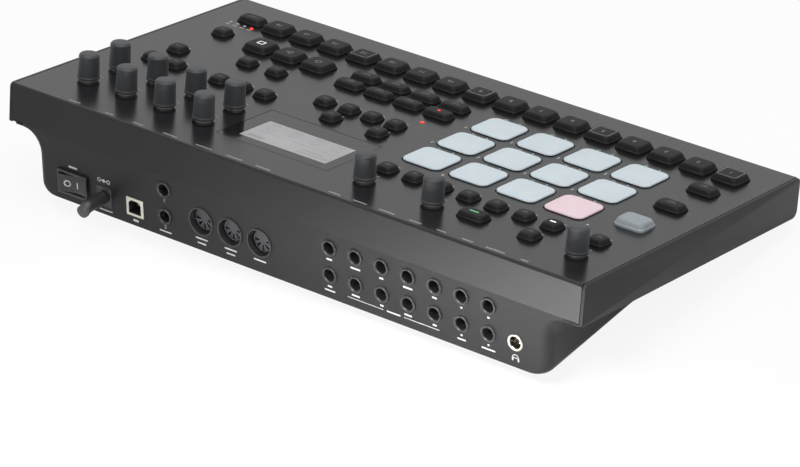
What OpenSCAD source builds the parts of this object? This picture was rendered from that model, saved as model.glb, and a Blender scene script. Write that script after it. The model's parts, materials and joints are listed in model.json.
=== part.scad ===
// Table-top drum machine: a sloping sheet-metal panel with pads, keys and knobs,
// on a moulded lower case whose rear block carries the sockets.
// Panel coordinates: x runs to the player's right, y from the front edge to the
// rear edge, z out of the panel. The whole machine stands tilted on four feet.

/* [Panel] */
// Width of the top sheet
panel_w = 381; // [330:1:460]
// Flat depth of the top sheet, front fold to rear fold
panel_d = 200; // [192:1:245]
// Thickness of the top sheet
sheet_t = 1.5; // [1:0.1:2]
// Outside radius of the two folds
fold_r = 1.5; // [1.5:0.1:3]
// Height of the front fascia
fascia_h = 20; // [17:0.5:21]
// Height of the rear skirt
skirt_h = 21.4; // [18:0.1:23]
// Angle of the panel to the table
tilt = 11.4; // [8:0.1:13]

/* [Lower case] */
// Thickness of the slab under the panel, sheet included
slab_t = 24.2; // [23:0.1:30]
// Cheek that shows beside the sheet at each end
cheek_t = 1.85; // [1.2:0.05:3]
// Radius of the cheeks' upper corners
cheek_r = 2.5; // [2:0.1:4]
// Gap between a cheek and the sheet's end
cheek_gap = 0.3; // [0.2:0.05:0.5]
// Wall of the slab
wall = 2.3; // [1.8:0.1:3]
// Wall of the rear block
block_wall = 3; // [2.5:0.1:4]
// Distance from the sheet's ends to the sides of the rear block
block_inset = 20; // [16:0.5:22]
// Height of the socket panel, measured down its face
block_h = 38.8; // [37:0.1:46]
// Lean of the socket panel from the panel's normal
block_lean = 7.4; // [4:0.1:9]
// Angle between the block's underside and the panel
block_slope = 12.2; // [11.5:0.1:15]
// Radius of the block's lower edges
block_r = 6.5; // [4:0.5:8]
// Radius of the hollow fillet where the block meets the slab
fillet_r = 12; // [6:0.5:13]
// Radius of the slab's lower front edge
slab_r = 4; // [2:0.5:5]

/* [Keys] */
// Distance between neighbouring step keys
key_pitch = 20.6; // [19.6:0.1:22]
// Width of a step key
step_w = 17; // [15:0.1:17.5]
// Depth of a step key
step_d = 16.2; // [14:0.1:18]
// Width of a transport key
transport_w = 17.3; // [15:0.1:17.5]
// Depth of a transport key
transport_d = 16.8; // [14:0.1:18]
// Width of a wide key
wide_w = 17.6; // [15:0.1:18]
// Depth of a wide key
wide_d = 10.3; // [9:0.1:11]
// Side of a small square key
small_w = 11.2; // [10:0.1:12]
// Width of a bar key
bar_w = 17; // [15:0.1:18]
// Width of the shift key
shift_w = 18.4; // [16:0.1:20]
// Depth of the shift key
shift_d = 14.8; // [12:0.1:16]
// Corner radius of the key caps
key_r = 3; // [2:0.1:4]
// Height of the large key caps over the panel
key_h = 4.2; // [3.5:0.1:5]
// Height of the small key caps over the panel
small_h = 3.6; // [3:0.1:4.5]
// Inset of the flat top from the cap's side
key_bevel = 2; // [1:0.1:2.5]
// Height of the cap's upright band over the panel
key_band = 1.4; // [0.8:0.1:2]
// Travel of a key
key_travel = 1.2; // [0.6:0.1:1.3]
// Step keys: centre of the first key
step_at = [23, 29.3];
// Transport keys: centre of the first key
transport_at = [279.3, 59.6];
// Wide keys: centre of the first key of the front row
wide_at = [187.3, 54.3];
// Distance between the two rows of wide keys
wide_row = 14.9; // [13:0.1:18]

/* [Pads] */
// Side of a square pad
pad_w = 24.7; // [22:0.1:27]
// Distance between neighbouring pads
pad_pitch = 30.7; // [29:0.1:33]
// Height of a pad over the panel
pad_h = 1.3; // [0.8:0.1:3]
// Corner radius of a pad
pad_r = 3.5; // [2:0.1:5]
// Travel of a pad
pad_travel = 0.8; // [0.4:0.1:1.2]
// Centre of the front left pad
pad_at = [59.7, 61.4];

/* [Knobs] */
// Radius of a knob at its foot
knob_r = 6.2; // [5.5:0.1:8]
// Radius of a knob at its top
knob_top_r = 5.7; // [5:0.1:7.5]
// Height of a knob's top over the panel
knob_h = 16; // [12:0.5:20]
// Gap between a knob's foot and the panel
knob_gap = 1.8; // [1.5:0.1:3]
// Radius of the shaft
shaft_r = 3; // [2.5:0.1:3.2]
// Radius of the bush that the shaft turns in
bush_r = 4.4; // [4:0.1:5]
// Side of the square body under the panel
rotary_w = 12; // [11:0.1:13]
// Distance between neighbouring data knobs
data_pitch = 27.6; // [24:0.1:28]
// Distance between the two rows of data knobs
data_row = 26.2; // [24:0.1:28]
// Centre of the front left data knob
data_at = [272.7, 141.6];

/* [Display] */
// Width and depth of the cover glass
lens_size = [75.6, 47.9];
// Centre of the cover glass
lens_at = [218.9, 152.4];
// Thickness of the display module
module_t = 3; // [2:0.1:4]

/* [Sockets] */
// Bore of a plug socket
jack_bore = 6.5; // [6.4:0.05:6.8]
// Depth of a plug socket from its mouth
jack_depth = 20; // [14:1:22]
// Outside diameter of the threaded bush
jack_bush = 8; // [7.8:0.1:8.6]
// Outside diameter of the ring nut
jack_nut = 9.8; // [9.6:0.1:12]
// Height of the ring nut over the socket panel
jack_nut_h = 1.8; // [1:0.1:3]
// Side of the socket's body
jack_body = 12.4; // [11:0.1:14]
// Distance between neighbouring columns of sockets
jack_pitch = 17.15; // [16:0.05:18]
// Distance between the two rows of sockets
jack_row = 16.2; // [15:0.1:18]
// First signal socket of the upper row: x, and distance down the socket panel
jack_at = [56.8, 9.5];
// Control socket of the upper row
control_at = [273, 10.8];
// Headphone socket
phones_at = [39.8, 25];
// First round multi-pin socket
din_at = [207.1, 22];
// Distance between neighbouring multi-pin sockets
din_pitch = 20.15; // [19.5:0.05:22]
// Outside diameter of a multi-pin socket's shield
din_d = 15.8; // [15:0.1:17]
// Reach of the shield over the socket panel
din_h = 2.5; // [1:0.1:4]
// Data port
usb_at = [294.2, 28.2];
// Width and height of the data port's shell
usb_size = [12, 11];
// Power inlet
inlet_at = [316.5, 28.5];
// Width and height of the inlet's frame
inlet_size = [10.5, 11.9];
// Diameter of the barrel in the inlet
barrel_d = 5.5; // [5:0.1:6]
// Diameter of the power plug's body
plug_d = 7.4; // [7:0.1:9]
// Length of the power plug's body
plug_l = 14.5; // [9:0.5:18]
// Length of the plug's tapered end
plug_tail = 7; // [5:0.5:10]
// Turn of the plug's tapered end
plug_turn = 32; // [10:1:60]
// Power switch
rocker_at = [338.8, 27.5];
// Width and height of the switch's bezel
rocker_size = [21.7, 14.8];
// Turn of the rocker from one side to the other
rocker_turn = 16; // [10:1:20]

/* [Feet and screws] */
// Height of a rubber foot
foot_h = 10; // [6:0.5:14]
// Radius of a rubber foot
foot_r = 8; // [6:0.5:9]
// Distance of the front feet from the front edge
foot_front = 20; // [18:0.5:21]
// Distance of the rear feet from the front edge
foot_rear = 176; // [150:1:180]
// Distance of the front feet from the sheet's ends
foot_side = 26; // [20:1:60]
// Distance of the rear feet from the sheet's ends
foot_rear_side = 42; // [36:1:70]
// Depth of the foot pads under the slab at the front feet
pad_drop = 2; // [1.9:0.1:3]
// Diameter of the case screws
screw_d = 3; // [2.5:0.1:3.5]
// Distance of the screws from the sheet's edges
screw_in = 9.5; // [9:0.5:11]

/* [Fits] */
// Gap round a key or pad in the panel
key_gap = 0.35; // [0.25:0.05:0.6]
// Play of a shaft or pin in its bore, on the radius
running = 0.05; // [0.03:0.01:0.09]
// Gap between pieces that are assembled but don't move
seat = 0.15; // [0.1:0.05:0.2]

/* [Hidden] */
$fn = 64;
far = 400;
board_top = -8;
board_t = 1.6;
lip = 0.8;
lip_t = 1;
stem_r = 2;
stem_gap = 0.4;
post_r = 4.5;
post_tip_r = 3.5;
head_r = 2.8;
head_t = 1.6;
screw_bite = 7;
case_boss_h = 5;
block_in_r = 1.5;
din_insert = 12.8;
din_body = 17.6;
din_deep = 12;
mouth_cut = 1.8;
tongue = [5.6, 3.2];
rocker_half = 8.6;
rocker_pin_r = 1;
plug_in = 9.4;
pin_r = 1.05;

// the socket panel starts just under the skirt and leans forward as it goes down
case_rear = panel_d + fold_r - sheet_t - seat;
case_front = sheet_t - fold_r + seat;
block_foot = [case_rear - block_h * sin(block_lean), -skirt_h - block_h * cos(block_lean)];
block_run = (-slab_t - block_foot[1]) / tan(block_slope);

// standing height: the foot pads share one level plane
pad_plane = foot_front * sin(tilt) - slab_t * cos(tilt) - pad_drop;
lift = foot_h - pad_plane;

// the origin is under the middle of the machine
y_front = -fold_r * cos(tilt) + fold_r * sin(tilt);
plug_end_r = 2.4;
plug_gap = 0.8;
plug_reach = plug_gap + plug_l + plug_tail * cos(plug_turn) + plug_end_r * sin(plug_turn);
plug_y = case_rear - inlet_at[1] * sin(block_lean) + plug_reach * cos(block_lean);
plug_z = -skirt_h - inlet_at[1] * cos(block_lean) - plug_reach * sin(block_lean);
y_rear = plug_y * cos(tilt) - plug_z * sin(tilt);
mid_y = (y_front + y_rear) / 2;

step_keys = [for (i = [0:15]) [step_at[0] + i * key_pitch, step_at[1]]];
transport_keys = [for (i = [0:2]) [transport_at[0] + i * key_pitch, transport_at[1]]];
wide_keys = [for (j = [0:1], i = [0:3]) [wide_at[0] + i * key_pitch, wide_at[1] + j * wide_row]];
pads = [for (j = [0:2], i = [0:3]) [pad_at[0] + i * pad_pitch, pad_at[1] + j * pad_pitch]];

// small keys: centre, then width and depth
row_y = 152.7;
row_keys = [for (i = [0:6]) [52.3 + i * 17.8, row_y, small_w, small_w]];
left_keys = [
    [24.4, 118.8, shift_w, shift_d],
    [23.6, 86.3, bar_w, small_w],
    [23.6, 55.1, bar_w, small_w],
    [24, 152.2, small_w, small_w],
    [53.3, 171.5, small_w, small_w],
    [88.8, 171.3, bar_w, small_w]
];
cursor_keys = [
    [193.9, 116.1, small_w, small_w],
    [225.6, 116.1, small_w, small_w],
    [193.9, 99.8, small_w, small_w],
    [209.8, 99.8, small_w, small_w],
    [225.6, 99.8, small_w, small_w],
    [242.4, 99.8, small_w, small_w]
];
right_keys = [
    [272, 116.2, small_w, small_w],
    [288.6, 116.2, small_w, small_w],
    [304.1, 116.2, small_w, small_w],
    [336.2, 116.2, small_w, small_w],
    [353, 116.2, small_w, small_w],
    [351.3, 96.1, small_w, small_w],
    [351.5, 56.3, small_w, small_w],
    [289.8, 84, small_w, small_w],
    [310.5, 84, small_w, small_w],
    [352.3, 28.1, bar_w, small_w]
];
mode_bank = concat(left_keys, row_keys);
edit_bank = concat(cursor_keys, right_keys);

data_knobs = [for (j = [0:1], i = [0:3]) [data_at[0] + i * data_pitch, data_at[1] + j * data_row]];
single_knobs = [[23.9, 172], [114.6, 172.3], [159.1, 172.3]];
all_knobs = concat(data_knobs, single_knobs);

// lamps: one beside the wide keys and four by the page key
lamps = concat([[188, 83.2]], [for (i = [0:3]) [346.1 + i * 5.1, 37]]);
lamp_r = 1;

signal_jacks_at = [for (j = [0:1], i = [0:6]) [jack_at[0] + i * jack_pitch, jack_at[1] + j * jack_row]];
control_jacks_at = [control_at, [control_at[0], control_at[1] + jack_row]];
jacks_at = concat(signal_jacks_at, control_jacks_at, [phones_at]);
dins_at = [for (i = [0:2]) [din_at[0] + i * din_pitch, din_at[1]]];

screws_at = [
    [screw_in, screw_in],
    [panel_w / 2, screw_in],
    [panel_w - screw_in, screw_in],
    [screw_in, panel_d / 2],
    [panel_w - screw_in, panel_d / 2],
    [screw_in, panel_d - screw_in],
    [panel_w - screw_in, panel_d - screw_in]
];
feet_at = [
    [foot_side, foot_front],
    [panel_w - foot_side, foot_front],
    [foot_rear_side, foot_rear],
    [panel_w - foot_rear_side, foot_rear]
];

// panel coordinates to the standing machine
module on_panel() {
    translate([-panel_w / 2, -mid_y, lift])
        rotate([tilt, 0, 0])
            children();
}

// socket panel: x along it, y down its face, z straight out of it
module on_sockets(at = [0, 0]) {
    on_panel()
        translate([at[0], case_rear, -skirt_h])
            rotate([-90 - block_lean, 0, 0])
                translate([0, at[1], 0])
                    children();
}

module rounded(size, r) {
    square([size[0] - 2 * r, size[1]], center = true);
    square([size[0], size[1] - 2 * r], center = true);
    for (sx = [-1, 1], sy = [-1, 1])
        translate([sx * (size[0] / 2 - r), sy * (size[1] / 2 - r)])
            circle(r);
}

// a profile of y and z, extruded along x
module along_x(x0, x1) {
    translate([x0, 0, 0])
        rotate([90, 0, 90])
            linear_extrude(x1 - x0)
                children();
}

// cap with four sloping sides, a retaining lip under the sheet and a stem
module key(w, d, r, h, bevel, band, travel) {
    cap_bottom = -sheet_t - lip_t;
    intersection() {
        translate([0, 0, cap_bottom])
            linear_extrude(h - cap_bottom)
                rounded([w, d], r);
        translate([0, d, 0])
            rotate([90, 0, 0])
                linear_extrude(2 * d)
                    slope(w, h, bevel, band);
        rotate([90, 0, 90])
            translate([0, 0, -w])
                linear_extrude(2 * w)
                    slope(d, h, bevel, band);
    }
    translate([0, 0, -sheet_t - key_gap - lip_t])
        linear_extrude(lip_t)
            rounded([w + 2 * lip, d + 2 * lip], r + lip);
    translate([0, 0, board_top + travel + stem_gap])
        cylinder(r = stem_r, h = -board_top - travel - stem_gap - sheet_t - key_gap - lip_t / 2);
}

module slope(w, h, bevel, band) {
    polygon([
        [-w, -far / 20], [w, -far / 20], [w, band - h],
        [w / 2, band], [w / 2 - bevel, h], [bevel - w / 2, h], [-w / 2, band], [-w, band - h]
    ]);
}

module panel_holes() {
    for (p = step_keys) translate(p) rounded([step_w + 2 * key_gap, step_d + 2 * key_gap], key_r + key_gap);
    for (p = transport_keys)
        translate(p) rounded([transport_w + 2 * key_gap, transport_d + 2 * key_gap], key_r + key_gap);
    for (p = wide_keys) translate(p) rounded([wide_w + 2 * key_gap, wide_d + 2 * key_gap], key_r + key_gap);
    for (p = concat(mode_bank, edit_bank))
        translate([p[0], p[1]]) rounded([p[2] + 2 * key_gap, p[3] + 2 * key_gap], key_r + key_gap);
    for (p = pads) translate(p) rounded([pad_w + 2 * key_gap, pad_w + 2 * key_gap], pad_r + key_gap);
    for (p = all_knobs) translate(p) circle(bush_r + seat);
    for (p = lamps) translate(p) circle(lamp_r + seat);
    translate(lens_at) square([lens_size[0] + 2 * seat, lens_size[1] + 2 * seat], center = true);
}

module sheet_profile() {
    difference() {
        union() {
            translate([0, -fold_r]) square([panel_d, fold_r]);
            translate([0, -fold_r]) circle(fold_r);
            translate([panel_d, -fold_r]) circle(fold_r);
            translate([-fold_r, -fascia_h]) square([far / 4, fascia_h - fold_r]);
            translate([far / 5, -skirt_h]) square([panel_d + fold_r - far / 5, skirt_h - fold_r]);
        }
        translate([sheet_t - fold_r, -far / 4])
            square([panel_d + 2 * fold_r - 2 * sheet_t, far / 4 - sheet_t]);
    }
}

module top_plate() {
    color("#3b3b3d") on_panel() difference() {
        union() {
            difference() {
                along_x(0, panel_w) sheet_profile();
                translate([0, 0, -2 * sheet_t]) linear_extrude(3 * sheet_t) panel_holes();
            }
            for (p = screws_at) translate([p[0], p[1], board_top])
                cylinder(r = post_r, h = -board_top - sheet_t / 2);
            for (p = screws_at) translate([p[0], p[1], case_boss_h + seat - slab_t])
                cylinder(r = post_tip_r, h = slab_t - case_boss_h - seat - sheet_t);
        }
        for (p = screws_at) translate([p[0], p[1], -slab_t])
            cylinder(r = screw_d / 2 + running, h = case_boss_h + screw_bite + 1);
    }
}

// side view of the slab, with its round lower front edge
module slab_profile(front, rear) {
    translate([front, slab_r - slab_t]) square([rear - front, slab_t - slab_r - sheet_t]);
    translate([front + slab_r, -slab_t]) square([rear - front - slab_r, slab_t - sheet_t]);
    translate([front + slab_r, slab_r - slab_t]) circle(slab_r);
}

// side view of a cheek: level with the sheet, its upper corners round
module cheek_profile() {
    rear = panel_d + fold_r;
    intersection() {
        translate([-fold_r, -2 * slab_t]) square([rear + fold_r, 2 * slab_t]);
        union() {
            slab_profile(-fold_r, rear);
            translate([cheek_r - fold_r, -slab_t / 2]) square([rear + fold_r - 2 * cheek_r, slab_t / 2]);
            for (y = [cheek_r - fold_r, rear - cheek_r])
                translate([y, -cheek_r]) circle(cheek_r);
            translate([-fold_r, -slab_t / 2]) square([rear + fold_r, slab_t / 2 - cheek_r]);
        }
    }
}

// side view of the rear block, its lower rear edge rounded
module block_profile(inset, r) {
    out_rear = [cos(block_lean), -sin(block_lean)];
    out_under = [-sin(block_slope), -cos(block_slope)];
    fold = 1 + out_rear * out_under;
    foot = block_foot - (out_rear + out_under) * inset / fold;
    centre = foot - (out_rear + out_under) * r / fold;
    up_rear = [sin(block_lean), cos(block_lean)];
    up_under = [-cos(block_slope), sin(block_slope)];
    top_rear = foot + up_rear * block_h;
    polygon([
        top_rear, centre + out_rear * r, centre + out_under * r,
        foot + up_under * block_run / cos(block_slope), [foot[0] - block_run, top_rear[1]]
    ]);
    translate(centre) circle(r);
}

// seen along the sloping underside: rounded lower edges, and hollow fillets that flare
// out to the slab at each side
module block_section() {
    w = panel_w - 2 * block_inset;
    crease = (case_rear - block_foot[0]) * sin(block_slope) - (slab_t + block_foot[1]) * cos(block_slope);
    translate([block_inset + block_r, 0]) square([w - 2 * block_r, 2 * block_h]);
    translate([block_inset, block_r]) square([w, 2 * block_h]);
    for (x = [block_inset + block_r, panel_w - block_inset - block_r])
        translate([x, block_r]) circle(block_r);
    side_fillet(crease);
    translate([panel_w, 0]) mirror([1, 0]) side_fillet(crease);
}

module side_fillet(top) {
    difference() {
        translate([block_inset - fillet_r, top - fillet_r]) square([fillet_r + 1, 2 * block_h + fillet_r - top]);
        translate([block_inset - fillet_r, top - fillet_r]) circle(fillet_r);
    }
}

module rear_block() {
    intersection() {
        along_x(0, panel_w) block_profile(0, block_r);
        translate([0, block_foot[0], block_foot[1]])
            rotate([-block_slope, 0, 0])
                translate([0, 60, 0])
                    rotate([90, 0, 0])
                        linear_extrude(far)
                            block_section();
    }
}

module socket_holes() {
    for (p = jacks_at) on_sockets(p) cylinder(d = jack_bush + 2 * seat, h = far / 20, center = true);
    for (p = dins_at) on_sockets(p) cylinder(d = din_d + 2 * seat, h = far / 20, center = true);
    on_sockets(usb_at) cube([usb_size[0] + 2 * seat, usb_size[1] + 2 * seat, far / 20], center = true);
    on_sockets(inlet_at) cube([inlet_size[0] + 2 * seat, inlet_size[1] + 2 * seat, far / 20], center = true);
    on_sockets(rocker_at) cube([rocker_size[0] - 1.6, rocker_size[1] - 1.6, far / 20], center = true);
}

module bottom_case() {
    color("#232324") difference() {
        union() {
            on_panel() difference() {
                union() {
                    along_x(-cheek_t - cheek_gap, -cheek_gap) cheek_profile();
                    along_x(panel_w + cheek_gap, panel_w + cheek_gap + cheek_t) cheek_profile();
                    along_x(-cheek_t - cheek_gap, panel_w + cheek_gap + cheek_t) intersection() {
                        slab_profile(-fold_r, case_rear);
                        union() {
                            translate([case_front, -slab_t - 1]) square([far, slab_t - sheet_t - seat + 1]);
                            translate([-fold_r, -slab_t - 1]) square([far, slab_t - fascia_h - seat + 1]);
                        }
                    }
                    rear_block();
                }
                translate([wall, case_front + wall, wall - slab_t])
                    cube([panel_w - 2 * wall, case_rear - case_front - 2 * wall, slab_t]);
                along_x(block_inset + block_wall, panel_w - block_inset - block_wall)
                    block_profile(block_wall, block_in_r);
            }
            on_panel() for (p = screws_at) translate([p[0], p[1], -slab_t])
                cylinder(r = post_r, h = case_boss_h);
            for (p = feet_at) foot_pad(p);
        }
        on_panel() for (p = screws_at) translate([p[0], p[1], -slab_t - 1]) {
            cylinder(d = screw_d + 4 * running, h = far);
            cylinder(r = head_r + seat, h = head_t + 1.2);
        }
        socket_holes();
    }
}

// upright disc that gives a foot a level seat under the sloping case
module foot_pad(p) {
    under = p[1] < foot_rear ? -slab_t : block_foot[1] + (block_foot[0] - p[1]) * tan(block_slope);
    seat_y = p[1] * cos(tilt) - under * sin(tilt) - mid_y;
    seat_z = p[1] * sin(tilt) + under * cos(tilt) + lift;
    translate([p[0] - panel_w / 2, seat_y, foot_h])
        cylinder(r = foot_r + 0.8, h = seat_z - foot_h + wall - 0.3);
}

module feet() {
    color("#1a1a1b") for (p = feet_at) {
        under = p[1] < foot_rear ? -slab_t : block_foot[1] + (block_foot[0] - p[1]) * tan(block_slope);
        translate([p[0] - panel_w / 2, p[1] * cos(tilt) - under * sin(tilt) - mid_y, 0])
            rotate_extrude()
                polygon([[0, 0], [foot_r - 1.8, 0], [foot_r - 1, 0.8], [foot_r, foot_h - 1], [foot_r, foot_h], [0, foot_h]]);
    }
}

module case_screws() {
    color("silver") on_panel() for (p = screws_at) translate([p[0], p[1], 0.2 - slab_t]) {
        difference() {
            cylinder(r = head_r, h = head_t);
            translate([0, 0, -0.1]) cylinder(r = 1.2, h = 0.9, $fn = 6);
        }
        translate([0, 0, head_t / 2])
            cylinder(d = screw_d, h = case_boss_h + screw_bite - head_t / 2);
    }
}

module circuit_boards() {
    color("#1d4a35") on_panel() difference() {
        translate([wall + 3, case_front + wall + 1, board_top - board_t])
            cube([panel_w - 2 * wall - 6, case_rear - case_front - 2 * wall - 2, board_t]);
        for (p = screws_at) translate([p[0], p[1], -far / 10])
            cylinder(r = post_tip_r + seat, h = far / 10);
    }
    color("#1d4a35") on_sockets([0, 0])
        translate([block_inset + block_wall + 4, block_wall + 0.5, -block_wall - jack_depth - board_t])
            cube([panel_w - 2 * (block_inset + block_wall + 4), block_h - 2 * block_wall - 6, board_t]);
    color("#b0201c") on_panel() for (p = lamps) translate([p[0], p[1], board_top])
        cylinder(r = lamp_r, h = 0.3 - board_top);
}

module jack(nut_h) {
    body_top = -block_wall - seat;
    difference() {
        union() {
            translate([-jack_body / 2, -jack_body / 2, -block_wall - jack_depth])
                cube([jack_body, jack_body, jack_depth - seat]);
            translate([0, 0, body_top - 1]) cylinder(d = jack_bush, h = nut_h + block_wall + seat + 1);
        }
        translate([0, 0, nut_h - jack_depth]) cylinder(d = jack_bore, h = far / 10);
    }
    difference() {
        translate([0, 0, seat / 2]) cylinder(d = jack_nut, h = nut_h - seat);
        cylinder(d = jack_bush + 2 * running, h = far / 10, center = true);
    }
}

module signal_jacks() {
    color("#2a2a2b") for (p = jacks_at) on_sockets(p) jack(jack_nut_h);
}

// five holes on an arc, in an insert inside a shield
module din_socket() {
    difference() {
        union() {
            cylinder(d = din_d, h = 2 * din_h + 4, center = true);
            translate([-din_body / 2, -din_body / 2, -block_wall - din_deep])
                cube([din_body, din_body, din_deep - seat]);
        }
        difference() {
            translate([0, 0, din_h - 6]) cylinder(d = din_d - 1.6, h = far / 10);
            translate([0, 0, -far / 20]) cylinder(d = din_insert, h = far / 20 + din_h - 0.8);
        }
        for (a = [0:45:180]) rotate(-a) translate([4.2, 0, din_h - 7]) cylinder(d = 1.7, h = far / 10);
    }
    translate([0, 0, -block_wall - 1]) cylinder(d = din_d, h = 1);
}

module din_sockets() {
    color("#262627") for (p = dins_at) on_sockets(p) din_socket();
}

// square frame round a mouth whose upper corners are cut, with the contact tongue inside
module usb_port() {
    mouth = [usb_size[0] - 3.4, usb_size[1] - 3];
    color("silver") on_sockets(usb_at) difference() {
        translate([0, 0, -block_wall - 13]) linear_extrude(block_wall + 13.6) square(usb_size, center = true);
        difference() {
            translate([0, 0, -9]) linear_extrude(far / 10) polygon([
                [-mouth[0] / 2, mouth[1] / 2], [mouth[0] / 2, mouth[1] / 2],
                [mouth[0] / 2, mouth_cut - mouth[1] / 2], [mouth[0] / 2 - mouth_cut, -mouth[1] / 2],
                [mouth_cut - mouth[0] / 2, -mouth[1] / 2], [-mouth[0] / 2, mouth_cut - mouth[1] / 2]
            ]);
            translate([0, 0, -10]) linear_extrude(6) square(tongue, center = true);
        }
    }
}

module power_inlet() {
    color("#1c1c1d") on_sockets(inlet_at) difference() {
        translate([0, 0, -block_wall - 11]) linear_extrude(block_wall + 11.5) square(inlet_size, center = true);
        translate([0, 0, -10]) cylinder(d = barrel_d + 2 * running, h = far / 10);
    }
}

// straight barrel in the inlet, moulded body outside with its tapered end turned down
module power_plug() {
    color("#202021") on_sockets(inlet_at) difference() {
        union() {
            translate([0, 0, -plug_in]) cylinder(d = barrel_d, h = plug_in + 2 * plug_gap);
            translate([0, 0, plug_gap]) cylinder(d = plug_d, h = plug_l);
            translate([0, 0, plug_gap + plug_l]) {
                sphere(d = plug_d);
                rotate([-plug_turn, 0, 0])
                    cylinder(r1 = plug_d / 2, r2 = plug_end_r, h = plug_tail);
            }
        }
        translate([0, 0, -plug_in - 1]) cylinder(r = pin_r, h = plug_in);
    }
}

module rocker_housing() {
    hollow = [2 * rocker_half + 1.4, rocker_size[1] - 3.4];
    color("#171718") on_sockets(rocker_at) difference() {
        union() {
            translate([0, 0, seat]) linear_extrude(1.8) rounded(rocker_size, 1);
            translate([0, 0, -block_wall - 9])
                linear_extrude(block_wall + 9 + seat + 1)
                    square([rocker_size[0] - 2, rocker_size[1] - 2], center = true);
        }
        translate([0, 0, -6]) linear_extrude(far / 10) square(hollow, center = true);
        translate([0, 0, -1]) rotate([90, 0, 0]) cylinder(r = rocker_pin_r + running, h = rocker_size[1] - 2.6, center = true);
    }
}

// the rocker is drawn level, then turned so that its first side is pressed in
module power_rocker() {
    depth = rocker_size[1] - 3.4 - 2 * key_gap;
    color("#141415") on_sockets(rocker_at) translate([0, 0, -1]) rotate([0, -rocker_turn / 2, 0]) {
        translate([0, depth / 2, 0]) rotate([90, 0, 0]) linear_extrude(depth)
            polygon([
                [-rocker_half, 3.7], [0, 2.4], [rocker_half, 3.7],
                [rocker_half - 0.4, -2], [0.4 - rocker_half, -2]
            ]);
        rotate([90, 0, 0]) cylinder(r = rocker_pin_r, h = rocker_size[1] - 2.8, center = true);
    }
}

module display_module() {
    plate = [lens_size[0] - 2, lens_size[1] - 2];
    color("#151a1e") on_panel() translate([lens_at[0], lens_at[1], 0]) {
        translate([0, 0, -sheet_t - seat - module_t]) linear_extrude(module_t) square(plate, center = true);
        for (sx = [-1, 1], sy = [-1, 1])
            translate([sx * (plate[0] / 2 - 4), sy * (plate[1] / 2 - 4), board_top])
                cylinder(r = 2, h = -board_top - sheet_t - seat - module_t / 2);
    }
}

module display_lens() {
    color("#0c1014") on_panel() translate([lens_at[0], lens_at[1], -sheet_t]) linear_extrude(sheet_t) square(lens_size, center = true);
}

module rotary_parts() {
    color("#8d8f91") on_panel() for (p = all_knobs) translate([p[0], p[1], 0]) difference() {
        union() {
            translate([-rotary_w / 2, -rotary_w / 2, board_top]) cube([rotary_w, rotary_w, -board_top - sheet_t - 0.7]);
            translate([0, 0, -sheet_t - 2]) cylinder(r = bush_r, h = sheet_t + 2.9);
        }
        translate([0, 0, board_top + 0.5]) cylinder(r = shaft_r + running, h = far / 10);
    }
}

module knob(p) {
    color("#505256") on_panel() translate([p[0], p[1], 0]) rotate_extrude() polygon([
        [0, board_top + 1], [shaft_r, board_top + 1], [shaft_r, knob_gap],
        [knob_r - 0.3, knob_gap], [knob_r, knob_gap + 0.3], [knob_r, knob_gap + 1.2],
        [knob_top_r, knob_h - 0.6], [knob_top_r - 0.6, knob_h], [0, knob_h]
    ]);
}

module step_key(i) {
    color("#2c2c2e") on_panel() translate(step_keys[i - 1])
        key(step_w, step_d, key_r, key_h, key_bevel, key_band, key_travel);
}

module transport_key(i) {
    color("#2c2c2e") on_panel() translate(transport_keys[i - 1])
        key(transport_w, transport_d, key_r, key_h, key_bevel, key_band, key_travel);
}

module pad(i) {
    color("#c9dcee") on_panel() translate(pads[i - 1])
        key(pad_w, pad_w, pad_r, pad_h, 0.4, pad_h - 0.4, pad_travel);
}

module small_keys(bank) {
    for (p = bank) translate([p[0], p[1], 0])
        key(p[2], p[3], key_r, p[3] > small_w ? key_h : small_h, key_bevel - 0.2, key_band, key_travel);
}

module wide_keys() {
    color("#2c2c2e") on_panel() for (p = wide_keys) translate(p)
        key(wide_w, wide_d, key_r, small_h, key_bevel - 0.2, key_band, key_travel);
}

module mode_keys() {
    color("#2c2c2e") on_panel() small_keys(mode_bank);
}

module edit_keys() {
    color("#2c2c2e") on_panel() small_keys(edit_bank);
}

top_plate();
bottom_case();
circuit_boards();
signal_jacks();
din_sockets();
usb_port();
power_inlet();
power_plug();
rocker_housing();
power_rocker();
display_module();
display_lens();
rotary_parts();
feet();
case_screws();
step_key(1);  // step_key_1
step_key(2);  // step_key_2
step_key(3);  // step_key_3
step_key(4);  // step_key_4
step_key(5);  // step_key_5
step_key(6);  // step_key_6
step_key(7);  // step_key_7
step_key(8);  // step_key_8
step_key(9);  // step_key_9
step_key(10);  // step_key_10
step_key(11);  // step_key_11
step_key(12);  // step_key_12
step_key(13);  // step_key_13
step_key(14);  // step_key_14
step_key(15);  // step_key_15
step_key(16);  // step_key_16
transport_key(1);  // transport_key_1
transport_key(2);  // transport_key_2
transport_key(3);  // transport_key_3
pad(1);  // pad_1
pad(2);  // pad_2
pad(3);  // pad_3
pad(4);  // pad_4
pad(5);  // pad_5
pad(6);  // pad_6
pad(7);  // pad_7
pad(8);  // pad_8
pad(9);  // pad_9
pad(10);  // pad_10
pad(11);  // pad_11
pad(12);  // pad_12
knob(data_knobs[0]);  // data_knob_1
knob(data_knobs[1]);  // data_knob_2
knob(data_knobs[2]);  // data_knob_3
knob(data_knobs[3]);  // data_knob_4
knob(data_knobs[4]);  // data_knob_5
knob(data_knobs[5]);  // data_knob_6
knob(data_knobs[6]);  // data_knob_7
knob(data_knobs[7]);  // data_knob_8
knob(single_knobs[0]);  // volume_knob
knob(single_knobs[1]);  // macro_knob
knob(single_knobs[2]);  // level_knob
wide_keys();
mode_keys();
edit_keys();
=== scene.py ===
import json
from math import atan2, cos, pi, radians, sin, tan

import bmesh
import bpy
from mathutils import Matrix, Vector


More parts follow.
